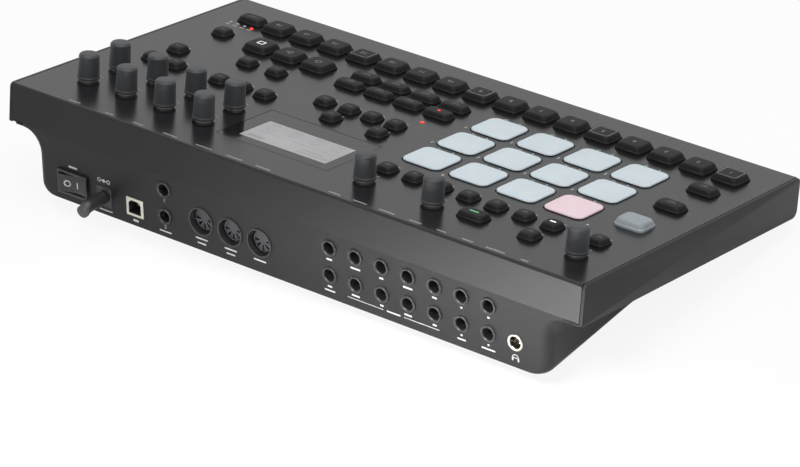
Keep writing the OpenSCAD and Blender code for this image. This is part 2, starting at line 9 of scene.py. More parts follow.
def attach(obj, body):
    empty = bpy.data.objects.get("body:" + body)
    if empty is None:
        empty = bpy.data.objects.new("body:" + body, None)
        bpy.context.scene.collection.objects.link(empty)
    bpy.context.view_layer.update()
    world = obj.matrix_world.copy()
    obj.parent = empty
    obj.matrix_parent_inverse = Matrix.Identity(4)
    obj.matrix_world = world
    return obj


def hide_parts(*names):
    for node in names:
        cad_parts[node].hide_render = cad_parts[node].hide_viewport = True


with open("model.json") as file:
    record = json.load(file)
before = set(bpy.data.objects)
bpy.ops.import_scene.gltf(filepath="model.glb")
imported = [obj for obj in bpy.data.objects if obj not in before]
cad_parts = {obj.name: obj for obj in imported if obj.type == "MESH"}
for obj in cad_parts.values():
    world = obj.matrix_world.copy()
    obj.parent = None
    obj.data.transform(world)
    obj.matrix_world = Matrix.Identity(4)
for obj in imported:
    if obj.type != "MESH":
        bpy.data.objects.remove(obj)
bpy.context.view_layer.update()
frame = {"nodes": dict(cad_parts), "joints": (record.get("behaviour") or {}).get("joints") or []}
print("frame loaded:", len(frame["nodes"]), "CAD nodes")

mm = 0.001

joints = {j["child"]: j for j in frame["joints"]}
foldRadius = 1.5  # outside radius of the sheet's two folds


def tiltFromAxis(axis):
    return atan2(axis[1], -axis[2])


def welded(node):
    mesh = bmesh.new()
    mesh.from_mesh(frame["nodes"][node].data)
    bmesh.ops.remove_doubles(mesh, verts=mesh.verts, dist=1e-6)
    return mesh


def boxIn(matrix, points):
    local = [matrix @ p for p in points]
    low = Vector([min(p[i] for p in local) for i in range(3)])
    high = Vector([max(p[i] for p in local) for i in range(3)])
    return low, high


# boxes of a node's separate solids, in millimetres of the given frame
def solidBoxes(node, toWorld):
    mesh = welded(node)
    inverse = toWorld.inverted()
    seen, boxes = set(), []
    for start in mesh.verts:
        if start.index in seen:
            continue
        seen.add(start.index)
        stack, island = [start], []
        while stack:
            vert = stack.pop()
            island.append(vert.co.copy())
            for edge in vert.link_edges:
                other = edge.other_vert(vert)
                if other.index not in seen:
                    seen.add(other.index)
                    stack.append(other)
        boxes.append(boxIn(inverse, island))
    mesh.free()
    return boxes


def middle(box):
    return (box[0] + box[1]) / 2


tilt = tiltFromAxis(joints["step_key_1"]["axis"])
turned = Matrix.Rotation(tilt, 4, "X") @ Matrix.Scale(mm, 4)
plateLow, plateHigh = solidBoxes("top_plate", turned)[0]
corner = Vector((plateLow.x, plateLow.y + foldRadius, plateHigh.z))
panelFrame = turned @ Matrix.Translation(corner)  # panel millimetres to the world
panelWidth = plateHigh.x - plateLow.x

socketTurn = tiltFromAxis(joints["power_rocker"]["axis"])
socketTop = {"y": 199.85, "z": -21.4}  # top edge of the socket panel, in panel millimetres
socketFrame = (
    Matrix.Translation(panelFrame @ Vector((0, socketTop["y"], socketTop["z"])))
    @ Matrix.Rotation(socketTurn - pi / 2, 4, "X")
    @ Matrix.Scale(mm, 4)
)
print("panel frame: width", round(panelWidth, 2), "tilt", round(tilt * 180 / pi, 2))


def linear(hexColor):
    def channel(c):
        return c / 12.92 if c <= 0.04045 else ((c + 0.055) / 1.055) ** 2.4
    return tuple(channel(int(hexColor[i:i + 2], 16) / 255) for i in (1, 3, 5)) + (1.0,)


def addNode(tree, kind, settings=None, links=None):
    node = tree.nodes.new(kind)
    for key, value in (settings or {}).items():
        if isinstance(key, str) and hasattr(node, key):
            setattr(node, key, value)
        else:
            node.inputs[key].default_value = value
    for key, source in (links or {}).items():
        tree.links.new(source, node.inputs[key])
    return node


# a material with its shader, its output, and object coordinates in millimetres
def startMaterial(name, finish):
    material = bpy.data.materials.new(name)
    material.use_nodes = True
    tree = material.node_tree
    tree.nodes.clear()
    shader = addNode(tree, "ShaderNodeBsdfPrincipled", finish)
    addNode(tree, "ShaderNodeOutputMaterial", links={"Surface": shader.outputs["BSDF"]})
    place = addNode(tree, "ShaderNodeTexCoord")
    scaled = addNode(tree, "ShaderNodeVectorMath", {"operation": "SCALE", "Scale": 1 / mm},
                     {0: place.outputs["Object"]})
    return material, tree, shader, scaled.outputs["Vector"]


# base colour drifts between two tones over a given number of millimetres
def mottle(tree, shader, where, tones, size, detail=3.0):
    noise = addNode(tree, "ShaderNodeTexNoise", {"Scale": 1 / size, "Detail": detail}, {"Vector": where})
    ramp = addNode(tree, "ShaderNodeValToRGB", links={"Fac": noise.outputs["Fac"]})
    ramp.color_ramp.elements[0].position = 0.3
    ramp.color_ramp.elements[1].position = 0.7
    ramp.color_ramp.elements[0].color = linear(tones[0])
    ramp.color_ramp.elements[1].color = linear(tones[1])
    tree.links.new(ramp.outputs["Color"], shader.inputs["Base Color"])
    return ramp


# roughness varies between two values, and fine grain lifts the surface
def grain(tree, shader, where, rough, roughSize, height, grainSize, strength=1.0):
    wide = addNode(tree, "ShaderNodeTexNoise", {"Scale": 1 / roughSize, "Detail": 4.0}, {"Vector": where})
    spread = addNode(tree, "ShaderNodeMapRange", {"To Min": rough[0], "To Max": rough[1]},
                     {"Value": wide.outputs["Fac"]})
    tree.links.new(spread.outputs["Result"], shader.inputs["Roughness"])
    fine = addNode(tree, "ShaderNodeTexNoise", {"Scale": 1 / grainSize, "Detail": 2.0}, {"Vector": where})
    bump = addNode(tree, "ShaderNodeBump", {"Strength": strength, "Distance": height * mm},
                   {"Height": fine.outputs["Fac"]})
    tree.links.new(bump.outputs["Normal"], shader.inputs["Normal"])
    return bump


# edges that hands rub go paler
def rubbedEdges(tree, shader, ramp, tone, amount):
    geometry = addNode(tree, "ShaderNodeNewGeometry")
    edge = addNode(tree, "ShaderNodeMapRange", {"From Min": 0.52, "From Max": 0.62, "To Max": amount},
                   {"Value": geometry.outputs["Pointiness"]})
    mix = addNode(tree, "ShaderNodeMix", {"data_type": "RGBA", 7: linear(tone)},
                  {0: edge.outputs["Result"], 6: ramp.outputs["Color"]})
    tree.links.new(mix.outputs[2], shader.inputs["Base Color"])


# a finish that only reflects: tones over toneSize mm, roughness over roughSize mm, and for the grain its
# height and size in mm and its strength; edge gives the tone of rubbed edges and how far they take it
def makeFinish(name, settings, tones, toneSize, rough, roughSize, relief, edge=None):
    material, tree, shader, where = startMaterial(name, settings)
    ramp = mottle(tree, shader, where, tones, toneSize)
    grain(tree, shader, where, rough, roughSize, *relief)
    if edge:
        rubbedEdges(tree, shader, ramp, *edge)
    return material


# a finish that also glows in its own tones
def makeGlow(name, settings, tones, toneSize, strength):
    material, tree, shader, where = startMaterial(name, settings)
    ramp = mottle(tree, shader, where, tones, toneSize)
    tree.links.new(ramp.outputs["Color"], shader.inputs["Emission Color"])
    shader.inputs["Emission Strength"].default_value = strength
    return material


# translucent silicone over coloured lamps: milky, glowing, a little stronger in the middle
def makePadSilicone(name, tones, glow):
    material, tree, shader, where = startMaterial(name, {"IOR": 1.43, "Subsurface Weight": 0.15,
                                                         "Subsurface Scale": 0.002})
    mottle(tree, shader, where, tones, 12)
    grain(tree, shader, where, (0.42, 0.5), 10, 0.02, 0.3, 0.3)
    lit = addNode(tree, "ShaderNodeAttribute", {"attribute_name": "centreGlow"})
    ramp = addNode(tree, "ShaderNodeValToRGB", links={"Fac": lit.outputs["Fac"]})
    ramp.color_ramp.elements[0].color = linear(glow[0])
    ramp.color_ramp.elements[1].color = linear(glow[1])
    tree.links.new(ramp.outputs["Color"], shader.inputs["Emission Color"])
    shader.inputs["Emission Strength"].default_value = 0.15
    return material


# screen-printed ink, slightly proud and a little uneven
def makePrintInk(name, tones):
    return makeFinish(name, {"IOR": 1.48}, tones, 1.5, (0.5, 0.62), 2, (0.004, 0.1, 0.4))


# diffused lens of a small lamp
def makeLampLens(name, tones, strength):
    return makeGlow(name, {"IOR": 1.5, "Roughness": 0.3}, tones, 1, strength)


# backlit liquid crystal panel: pale grey
def makeLitPanel(name, tones, strength):
    return makeGlow(name, {"IOR": 1.5, "Roughness": 0.4}, tones, 18, strength)


# soft PVC moulded round the power plug
def makePlugVinyl(name, tones):
    return makeFinish(name, {"IOR": 1.53}, tones, 6, (0.4, 0.52), 5, (0.015, 0.3, 0.4), ("#4a4a4c", 0.4))


# satin lacquer sprayed on folded steel: charcoal with a fine orange-peel that softens reflections
steel = makeFinish("lacqueredSteel", {"IOR": 1.4}, ("#151517", "#19191b"), 60, (0.2, 0.26), 40,
                   (0.01, 0.5, 0.25))
# moulded ABS with a spark-eroded texture: dark, matt, faintly sparkling grain
mouldedAbs = makeFinish("mouldedAbs", {"IOR": 1.4}, ("#101011", "#141415"), 45, (0.42, 0.5), 30,
                        (0.02, 0.35, 0.4))
# moulded silicone rubber keys: near black, matt, with a soft bloom
rubber = makeFinish("siliconeRubber", {"IOR": 1.41, "Specular IOR Level": 0.2}, ("#121213", "#171718"), 9,
                    (0.46, 0.56), 8, (0.02, 0.3, 0.4), ("#3c3c3f", 0.5))
# the pale key of the same rubber
paleRubber = makeFinish("paleSilicone", {"IOR": 1.43, "Sheen Weight": 0.1}, ("#969ea3", "#9ea6ab"), 9,
                        (0.5, 0.6), 8, (0.02, 0.3, 0.4), ("#b6bbc0", 0.3))
# soft-touch paint on moulded knobs: slate grey, matt, gathering a little dust in its grain
softTouch = makeFinish("softTouchPaint", {"IOR": 1.48, "Sheen Weight": 0.1, "Sheen Roughness": 0.5},
                       ("#2e3033", "#34363a"), 7, (0.46, 0.56), 6, (0.015, 0.25, 0.4), ("#5e6066", 0.5))
# nickel-plated brass or steel: bright, slightly warm
nickel = makeFinish("nickelPlate", {"Metallic": 1.0}, ("#b9b5ad", "#c8c5be"), 3, (0.16, 0.28), 2,
                    (0.004, 0.2, 0.3))
# tin-plated steel shell of the data port: pale, satin
tin = makeFinish("tinPlate", {"Metallic": 1.0}, ("#c9c6bb", "#d9d6cc"), 4, (0.26, 0.4), 3, (0.006, 0.2, 0.4))
# glass-filled nylon of the ring nuts and sockets: black, slightly fibrous
nylon = makeFinish("glassNylon", {"IOR": 1.53}, ("#1b1b1c", "#222223"), 3, (0.34, 0.46), 4,
                   (0.012, 0.15, 0.4), ("#4b4b4d", 0.5))
# grey thermoplastic insert of the round sockets
insertPlastic = makeFinish("insertPlastic", {"IOR": 1.5}, ("#37383a", "#3e3f42"), 3, (0.4, 0.5), 4,
                           (0.01, 0.15, 0.4))
# glossy polycarbonate of the power switch
polycarbonate = makeFinish("blackPolycarbonate", {"IOR": 1.585}, ("#141415", "#19191a"), 8, (0.2, 0.3), 8,
                           (0.006, 0.3, 0.3), ("#3a3a3c", 0.4))
vinyl = makePlugVinyl("plugVinyl", ("#1d1d1e", "#232324"))
# the same vinyl made paler for the plug's tail: the paleness is a painted highlight on its end
tailHighlightVinyl = makePlugVinyl("tailHighlightVinyl", ("#38393b", "#3f4042"))
# EPDM rubber feet: black, matt, dusty where they touch the table
footRubber = makeFinish("footRubber", {"IOR": 1.5}, ("#1a1a1b", "#232323"), 4, (0.62, 0.78), 5,
                        (0.03, 0.5, 0.5), ("#3c3b39", 0.5))
# black zinc screws: dark metal with worn drive edges
blackZinc = makeFinish("blackZinc", {"Metallic": 1.0}, ("#3a3a3c", "#4a4a4d"), 2, (0.3, 0.42), 2,
                       (0.005, 0.2, 0.4), ("#8d8d8f", 0.6))
# epoxy board under green solder mask
laminate = makeFinish("boardLaminate", {"IOR": 1.55, "Coat Weight": 0.3}, ("#14402c", "#1d5138"), 6,
                      (0.3, 0.42), 5, (0.01, 0.8, 0.4))
# acrylic with black ink printed behind it: a deep glossy black
inked = makeFinish("inkedAcrylic", {"IOR": 1.4}, ("#0c0d0e", "#101113"), 30, (0.08, 0.14), 25,
                   (0.001, 2.0, 0.1))
whiteInk = makePrintInk("whiteInk", ("#b9b9b6", "#c6c6c3"))
greyInk = makePrintInk("greyInk", ("#8b8b8b", "#979797"))
fadedInk = makePrintInk("fadedInk", ("#4c4d4f", "#565759"))
litWhite = makeLampLens("litWhite", ("#e2e5e6", "#f2f4f4"), 0.8)
litRed = makeLampLens("litRed", ("#ff2a1c", "#ff3a28"), 1.4)
litGreen = makeLampLens("litGreen", ("#4fae74", "#5cbc82"), 0.25)
paleLamp = makeLampLens("paleLamp", ("#8e9091", "#a2a4a5"), 0.12)
padWhite = makePadSilicone("padWhite", ("#c0cbd0", "#c6d1d6"), ("#c2d4de", "#dbe8ef"))
padPink = makePadSilicone("padPink", ("#dcc6cc", "#e2ccd2"), ("#eac6d0", "#f4dfe4"))
screenPale = makeLitPanel("screenPale", ("#9c9d9e", "#a4a5a6"), 0.12)
screenInner = makeLitPanel("screenInner", ("#9c9c9e", "#a6a6a8"), 0.1)
screenInk = makeLitPanel("screenInk", ("#8a8b8d", "#919294"), 0.08)
print("materials ready:", len(bpy.data.materials))


def addObject(name, data):
    thing = bpy.data.objects.new(name, data)
    bpy.context.scene.collection.objects.link(thing)
    return thing


# points of a quarter circle from one angle on
def quarterArc(x, y, radius, start, steps=6, way=1):
    angles = [start + way * k / steps * pi / 2 for k in range(steps + 1)]
    return [(x + radius * cos(a), y + radius * sin(a)) for a in angles]


# points of a rounded rectangle, counterclockwise, the same number for any size
def roundedOutline(width, depth, radius, perCorner=7, perSide=3):
    radius = min(radius, width / 2 - 0.01, depth / 2 - 0.01)
    arcs = []
    for quarter, (sx, sy) in enumerate([(1, 1), (-1, 1), (-1, -1), (1, -1)]):
        cx, cy = sx * (width / 2 - radius), sy * (depth / 2 - radius)
        arcs.append(quarterArc(cx, cy, radius, quarter * pi / 2, perCorner - 1))
    points = []
    for quarter in range(4):
        points += arcs[quarter]
        (ax, ay), (bx, by) = arcs[quarter][-1], arcs[(quarter + 1) % 4][0]
        points += [(ax + (bx - ax) * k / (perSide + 1), ay + (by - ay) * k / (perSide + 1))
                   for k in range(1, perSide + 1)]
    return points


# points of a circle
def circle(x, y, radius, count=28):
    angles = [2 * pi * k / count for k in range(count)]
    return [(x + radius * cos(a), y + radius * sin(a)) for a in angles]


# an outline moved to a place, and scaled about its own middle
def placed(outline, x, y, scaleX=1.0, scaleY=1.0):
    return [(x + a * scaleX, y + b * scaleY) for a, b in outline]


# rings for a loft from pairs of an outline and its height
def stacked(levels):
    return [[(x, y, z) for x, y in outline] for outline, z in levels]


# quads between two rings of vertices, or between two open rows
def bridge(mesh, lower, upper, material=0, closed=True):
    count = len(lower)
    for k in range(count if closed else count - 1):
        face = mesh.faces.new((lower[k], lower[(k + 1) % count], upper[(k + 1) % count], upper[k]))
        face.material_index = material


# a copy of a ring of vertices at another height
def levelled(mesh, ring, z):
    return [mesh.verts.new((v.co.x, v.co.y, z)) for v in ring]


# a closed loop of edges through new vertices
def addLoop(mesh, points):
    loop = [mesh.verts.new(point) for point in points]
    return loop, [mesh.edges.new((loop[k], loop[(k + 1) % len(loop)])) for k in range(len(loop))]


def fillFlat(mesh, edges, material=0):
    filled = bmesh.ops.triangle_fill(mesh, use_beauty=True, use_dissolve=False, edges=edges)
    for face in [g for g in filled["geom"] if isinstance(g, bmesh.types.BMFace)]:
        face.material_index = material


# joins rings of points with quads; the ends close with a fan or stay open
def loft(mesh, rings, closeStart=True, closeEnd=True, material=0):
    made = [[mesh.verts.new(p) for p in ring] for ring in rings]
    for lower, upper in zip(made, made[1:]):
        bridge(mesh, lower, upper, material)
    count = len(made[0])
    for ring, wanted, order in ((made[0], closeStart, -1), (made[-1], closeEnd, 1)):
        if not wanted:
            continue
        centre = mesh.verts.new(sum((v.co for v in ring), Vector()) / count)
        for k in range(count):
            corners = (ring[k], ring[(k + 1) % count], centre)
            face = mesh.faces.new(corners[::order])
            face.material_index = material
    return made


# an outline carried straight from one height to another
def extrude(mesh, outline, low, high, material=0):
    loft(mesh, stacked([(outline, low), (outline, high)]), material=material)


# turned shape: a profile of radius and height, spun round z at a place
def lathe(mesh, profile, centre=(0, 0, 0), segments=48, material=0, closeStart=True, closeEnd=True):
    rings = stacked([(circle(centre[0], centre[1], r, segments), centre[2] + z) for r, z in profile])
    return loft(mesh, rings, closeStart, closeEnd, material)


# rounds the corners of a profile, each by its own radius
def softened(profile, radius, steps=4):
    points = [profile[0]]
    for before, here, after in zip(profile, profile[1:], profile[2:]):
        here, before, after = Vector(here), Vector(before), Vector(after)
        reach = min(radius, (before - here).length / 2.2, (after - here).length / 2.2)
        start = here + (before - here).normalized() * reach
        end = here + (after - here).normalized() * reach
        for k in range(steps + 1):
            t = k / steps
            points.append(tuple(start * (1 - t) ** 2 + here * 2 * t * (1 - t) + end * t * t))
    return points + [profile[-1]]


# a finished piece: its mesh in a local millimetre frame is carried to the world
def finishPiece(name, mesh, toWorld, body, materials, nodes=(), smooth=35):
    bmesh.ops.recalc_face_normals(mesh, faces=mesh.faces)
    bmesh.ops.transform(mesh, matrix=toWorld, verts=mesh.verts)
    data = bpy.data.meshes.new(name)
    mesh.to_mesh(data)
    mesh.free()
    for material in materials:
        data.materials.append(material)
    data.polygons.foreach_set("use_smooth", [True] * len(data.polygons))
    data.set_sharp_from_angle(angle=radians(smooth))
    piece = addObject(name, data)
    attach(piece, body)
    if nodes:
        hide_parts(*nodes)
    return piece


# soft key cap: straight skirt, a small flange, steep sides and a barely crowned top
def addCap(mesh, cap, centre=(0, 0), material=0):
    def outline(inset, share=1.0):
        corner = cap["corner"] - inset * 0.2
        points = roundedOutline(cap["width"] - 2 * inset, cap["depth"] - 2 * inset, corner)
        return placed(points, *centre, share, share)
    levels = [(outline(inset), z) for inset, z in softened(cap["side"], cap["soft"])]
    inset, edgeHeight = cap["side"][-1]
    for share in (0.9, 0.78, 0.64, 0.5, 0.36, 0.22, 0.1):
        lift = (cap["height"] - edgeHeight) * (1 - share ** 2)
        levels.append((outline(inset, share), edgeHeight + lift))
    loft(mesh, stacked(levels), material=material)


# a flat face with holes, each hole a recess with a dark floor
def addPierced(mesh, outer, holes, top, floor, material=0, floorMaterial=0):
    loops, edges = zip(*[addLoop(mesh, [(x, y, top) for x, y in outline]) for outline in [outer] + holes])
    fillFlat(mesh, sum(edges, []), material)
    for loop in loops[1:]:
        foot = levelled(mesh, loop, floor)
        bridge(mesh, loop, foot, floorMaterial)
        mesh.faces.new(foot).material_index = floorMaterial
    return loops[0]


inkThick = 0.03
inkSunk = -0.02  # the skin of ink starts a little under the surface


def flat(x, y):
    return 0.0


# outline of a flat mark, laid on a surface as a thin raised skin of ink
def addMark(mesh, outline, heightAt, thick=inkThick, material=0):
    top = [mesh.verts.new((x, y, heightAt(x, y) + thick)) for x, y in outline]
    foot = [mesh.verts.new((x, y, heightAt(x, y) + inkSunk)) for x, y in outline]
    mesh.faces.new(top).material_index = material
    bridge(mesh, foot, top, material)


def addBar(mesh, x, y, width, depth, heightAt=flat, material=0):
    outline = roundedOutline(width, depth, min(width, depth) * 0.35, 3, 0)
    addMark(mesh, placed(outline, x, y), heightAt, inkThick, material)


# a hollow frame of ink: outer and inner outlines joined
def addFrame(mesh, x, y, width, depth, line, radius, heightAt=flat, material=0):
    outer = placed(roundedOutline(width, depth, radius, 5, 2), x, y)
    inner = placed(roundedOutline(width - 2 * line, depth - 2 * line, max(radius - line, 0.1), 5, 2), x, y)
    rings = [[mesh.verts.new((a, b, heightAt(a, b) + z)) for a, b in outline]
             for outline, z in ((outer, inkSunk), (outer, inkThick), (inner, inkThick), (inner, inkSunk))]
    for lower, upper in zip(rings, rings[1:]):
        bridge(mesh, lower, upper, material)


def addRing(mesh, x, y, radius, line, heightAt=flat, material=0):
    addFrame(mesh, x, y, 2 * radius, 2 * radius, line, radius, heightAt, material)


# the sides of a polygon as bars of ink
def addOutline(mesh, points, line, heightAt):
    for (ax, ay), (bx, by) in zip(points, points[1:] + points[:1]):
        along = Vector((bx - ax, by - ay)).normalized() * line / 2
        starts, ends = (ax - along.x, ay - along.y), (bx + along.x, by + along.y)
        sides = [(starts[0] + along.y, starts[1] - along.x), (ends[0] + along.y, ends[1] - along.x),
                 (ends[0] - along.y, ends[1] + along.x), (starts[0] - along.y, starts[1] + along.x)]
        addMark(mesh, sides, heightAt)


# plain numbers, drawn from the built-in font and laid on a surface
def addNumber(mesh, text, x, y, size, heightAt=flat, material=0, turn=0.0):
    curve = bpy.data.curves.new("number", "FONT")
    curve.body = text
    curve.size = size
    curve.align_x = "CENTER"
    curve.align_y = "CENTER"
    curve.resolution_u = 3
    holder = addObject("number", curve)
    drawn = bpy.data.meshes.new_from_object(holder)
    bpy.data.objects.remove(holder)
    glyph = bmesh.new()
    glyph.from_mesh(drawn)
    bpy.data.meshes.remove(drawn)
    bmesh.ops.remove_doubles(glyph, verts=glyph.verts, dist=1e-4)
    lifted = {}
    for vert in glyph.verts:
        gx = x + vert.co.x * cos(turn) - vert.co.y * sin(turn)
        gy = y + vert.co.x * sin(turn) + vert.co.y * cos(turn)
        lifted[vert.index] = (gx, gy, heightAt(gx, gy))
    tops = {i: mesh.verts.new((gx, gy, z + inkThick)) for i, (gx, gy, z) in lifted.items()}
    feet = {i: mesh.verts.new((gx, gy, z + inkSunk)) for i, (gx, gy, z) in lifted.items()}
    for face in glyph.faces:
        made = mesh.faces.new([tops[v.index] for v in face.verts])
        made.material_index = material
    for edge in glyph.edges:
        if len(edge.link_faces) == 1:
            a, b = edge.verts
            side = mesh.faces.new((feet[a.index], feet[b.index], tops[b.index], tops[a.index]))
            side.material_index = material
    glyph.free()


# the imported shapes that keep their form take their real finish
keptNodes = {
    "top_plate": steel, "circuit_boards": laminate, "rotary_parts": nickel,
    "display_module": inked, "case_screws": blackZinc,
}
for nodeName, material in keptNodes.items():
    data = frame["nodes"][nodeName].data
    data.materials.clear()
    data.materials.append(material)
print("carried over:", ", ".join(keptNodes))


# where the sockets, screws and feet stand, in millimetres of the socket panel, the panel and the world
jackBoxes = [box for box in solidBoxes("signal_jacks", socketFrame) if box[1].z - box[0].z < 3]
dinBoxes = [box for box in solidBoxes("din_sockets", socketFrame) if box[1].z > 1]
portBox, inletBox, switchBox = (solidBoxes(node, socketFrame)[0]
                                for node in ("usb_port", "power_inlet", "rocker_housing"))
screwBoxes = solidBoxes("case_screws", panelFrame)
footBoxes = solidBoxes("feet", Matrix.Scale(mm, 4))

# lower case: a tray with two cheeks, and the rear block that carries the sockets
caseShape = {
    "gap": 0.3, "cheek": 1.85, "low": -24.2, "wall": 2.3, "front": -1.5, "under": -1.65, "fascia": -20.15,
    "innerFront": 0.15, "innerRear": 199.3, "floorInset": 1.2, "sole": 2.0, "screw": 2.95,
    "cheekLow": -22.9, "cheekRear": 201.5, "upper": 2.5, "lower": 4.0, "rearCorner": 0.8,
    "inset": 19.4, "farInset": 15.8, "flare": 13.5, "edge": 6.0, "sideEdge": 6.0, "drop": 39.7, "foot": 30.0,
    "seam": -21.75, "jackHole": 4.15, "dinHole": 8.05,
    "seat": ((8.4, 0.0), (8.8, 0.4), (8.8, 3.6)),  # radius, and height over the foot
}
c = caseShape
socketLean = tilt - socketTurn
lowY, lowZ = socketTop["y"] - c["drop"] * sin(socketLean), socketTop["z"] - c["drop"] * cos(socketLean)
blockSlope = atan2(c["low"] - lowZ, lowY - c["foot"])
floorTop = c["low"] + c["wall"]


# side view of a cheek, its edges drawn in by an inset
def cheekOutline(inset):
    low, high, front, rear = c["cheekLow"] + inset, -inset, c["front"] + inset, c["cheekRear"] - inset
    corners = [(front, low, c["lower"]), (rear, low, c["rearCorner"]), (rear, high, c["upper"]),
               (front, high, c["upper"])]
    points = []
    for k, (y, z, radius) in enumerate(corners):
        arcY = y + (radius if k in (0, 3) else -radius)
        arcZ = z + (radius if k in (0, 1) else -radius)
        points += quarterArc(arcY, arcZ, radius, pi + k * pi / 2)
    return points


def prism(mesh, outline, x0, x1):
    loft(mesh, [[(x, y, z) for y, z in outline] for x in (x0, x1)])


# an upright rib inside the tray
def addRib(mesh, y0, y1, x0, x1):
    prism(mesh, [(y0, c["low"] + 1), (y1, c["low"] + 1), (y1, c["under"]), (y0, c["under"])], x0, x1)


# half of a section across the block: flare under the tray, side wall, round lower edge
def blockSection(depth, sideInset):
    rise = depth * tan(blockSlope) / (1 + tan(socketLean) * tan(blockSlope))
    bottom = min(lowZ + rise, c["low"] - 0.2)
    share = min(1.0, (c["low"] - bottom) / (c["flare"] + c["sideEdge"] + 0.5))
    flare, edge, back = c["flare"] * share, c["sideEdge"] * share, c["edge"]
    inset = sideInset + (back - (back ** 2 - (back - depth) ** 2) ** 0.5 if depth < back else 0.0)
    points = [(inset - flare, c["seam"])] + quarterArc(inset - flare, c["low"] - flare, flare, pi / 2, way=-1)
    points += quarterArc(inset + edge, bottom + edge, edge, pi)
    return [(x, socketTop["y"] + (z - socketTop["z"]) * tan(socketLean) - depth, z) for x, z in points]


def onFace(x, down):
    return x, socketTop["y"] - down * sin(socketLean), socketTop["z"] - down * cos(socketLean)


depths = [0.0, 0.15, 0.6, 1.3, 2.3, 3.7, 5.3, 7.0]
depths += [7.0 + (lowY - c["foot"] - 8.0) * k / 14 for k in range(1, 15)]
shell = bmesh.new()
rows = []
for depth in depths:
    near, far = blockSection(depth, c["inset"]), blockSection(depth, c["farInset"])
    whole = near + [(panelWidth - x, y, z) for x, y, z in reversed(far)]
    rows.append([shell.verts.new(point) for point in whole])
for nearer, farther in zip(rows, rows[1:]):
    bridge(shell, nearer, farther, closed=False)
# the socket panel, with a hole for each socket
faceEdges = [shell.edges.get(pair) for pair in zip(rows[0], rows[0][1:])]
faceEdges.append(shell.edges.new((rows[0][-1], rows[0][0])))
holes = [circle(*middle(box).xy, c["jackHole"]) for box in jackBoxes]
holes += [circle(*middle(box).xy, c["dinHole"], 40) for box in dinBoxes]
for box, grow in ((portBox, 0.15), (inletBox, 0.15), (switchBox, -0.9)):
    size = box[1] - box[0]
    outline = roundedOutline(size.x + 2 * grow, size.y + 2 * grow, 0.4, 4, 2)
    holes.append(placed(outline, *middle(box).xy))
for hole in holes:
    faceEdges += addLoop(shell, [onFace(x, down) for x, down in hole])[1]
fillFlat(shell, faceEdges)
bmesh.ops.recalc_face_normals(shell, faces=shell.faces)
outward = max(shell.faces, key=lambda f: f.calc_center_median().y)
if outward.normal.y < 0:
    bmesh.ops.reverse_faces(shell, faces=shell.faces)
bmesh.ops.solidify(shell, geom=shell.faces[:], thickness=c["wall"])
# tray, its floor pierced for the screws
floorFrom = c["front"] + c["lower"] + c["sole"]
lip = c["innerFront"] + c["wall"]
arc = quarterArc(c["front"] + c["lower"], c["low"] + c["lower"], c["lower"], pi, 8)
front = [(c["innerFront"], c["fascia"]), (c["front"], c["fascia"])] + arc + [
    (floorFrom, c["low"]), (floorFrom, floorTop), (lip, floorTop), (lip, c["under"]),
    (c["innerFront"], c["under"])]
x0, x1 = c["floorInset"], panelWidth - c["floorInset"]
prism(shell, front, x0, x1)
screwHoles = [circle(*middle(box).xy, c["screw"], 24) for box in screwBoxes]
rim = addPierced(shell, [(x0, floorFrom), (x1, floorFrom), (x1, c["innerRear"]), (x0, c["innerRear"])],
                 screwHoles, c["low"], floorTop - 0.1)
lid = levelled(shell, rim, floorTop)
bridge(shell, rim, lid)
shell.faces.new(lid)
addRib(shell, c["innerRear"] - c["wall"], c["innerRear"], -c["gap"], panelWidth + c["gap"])
for side, way in ((0, -1), (panelWidth, 1)):
    inner, outer = side + way * c["gap"], side + way * (c["gap"] + c["cheek"])
    stations = ((inner, 0.1), (inner + way * 0.1, 0.0), (outer - way * 0.4, 0.0), (outer - way * 0.12, 0.12),
                (outer, 0.4))
    loft(shell, [[(x, y, z) for y, z in cheekOutline(inset)] for x, inset in stations])
    addRib(shell, c["innerFront"], c["innerRear"], inner, inner - way * c["wall"])
# level seats over the feet
toPanel = panelFrame.inverted() @ Matrix.Scale(mm, 4)
for box in footBoxes:
    seat = stacked([(circle(*middle(box).xy, radius, 40), box[1].z + lift) for radius, lift in c["seat"]])
    loft(shell, [[toPanel @ Vector(point) for point in ring] for ring in seat])
finishPiece("case_shell", shell, panelFrame, "base", [mouldedAbs], ["bottom_case"], 40)

# rubber feet, tapered to a ground ring
footShape = [(0.1, 0.0), (3.6, 0.0), (4.6, 0.5), (5.2, 1.2), (6.8, 8.8), (7.0, 10.0), (0.1, 10.0)]
feet = bmesh.new()
for box in footBoxes:
    lathe(feet, softened(footShape, 0.5), (*middle(box).xy, 0), 40)
finishPiece("rubber_feet", feet, Matrix.Scale(mm, 4), "base", [footRubber], ["feet"])
print("case moulded")


# soft rubber keys
largeKey = {
    "height": 4.2, "corner": 2.9, "soft": 0.4, "over": 12,
    "side": [(0.0, -2.3), (0.0, 1.0), (0.45, 1.45), (1.15, 3.3), (1.75, 4.02), (2.5, 4.1)],
}
smallKey = {
    "height": 3.6, "corner": 2.9, "soft": 0.4,
    "side": [(0.0, -2.3), (0.0, 0.9), (0.4, 1.3), (0.95, 2.8), (1.5, 3.4), (2.1, 3.5)],
}
paleKey = {"width": 18.4, "depth": 14.8}
keyLip = 0.8  # how far the hidden lip that holds a key under the sheet reaches past its cap
keyUnder = {"lip": (-2.85, -1.85), "stem": 2.0, "stemTop": -2.4, "keyFoot": -5.9, "padFoot": -6.3}


def keyTop(shape, box):
    size = box[1] - box[0]
    return dict(shape, width=size.x - 2 * keyLip, depth=size.y - 2 * keyLip)


def isPale(cap):
    return all(abs(cap[way] - paleKey[way]) < 0.3 for way in paleKey)


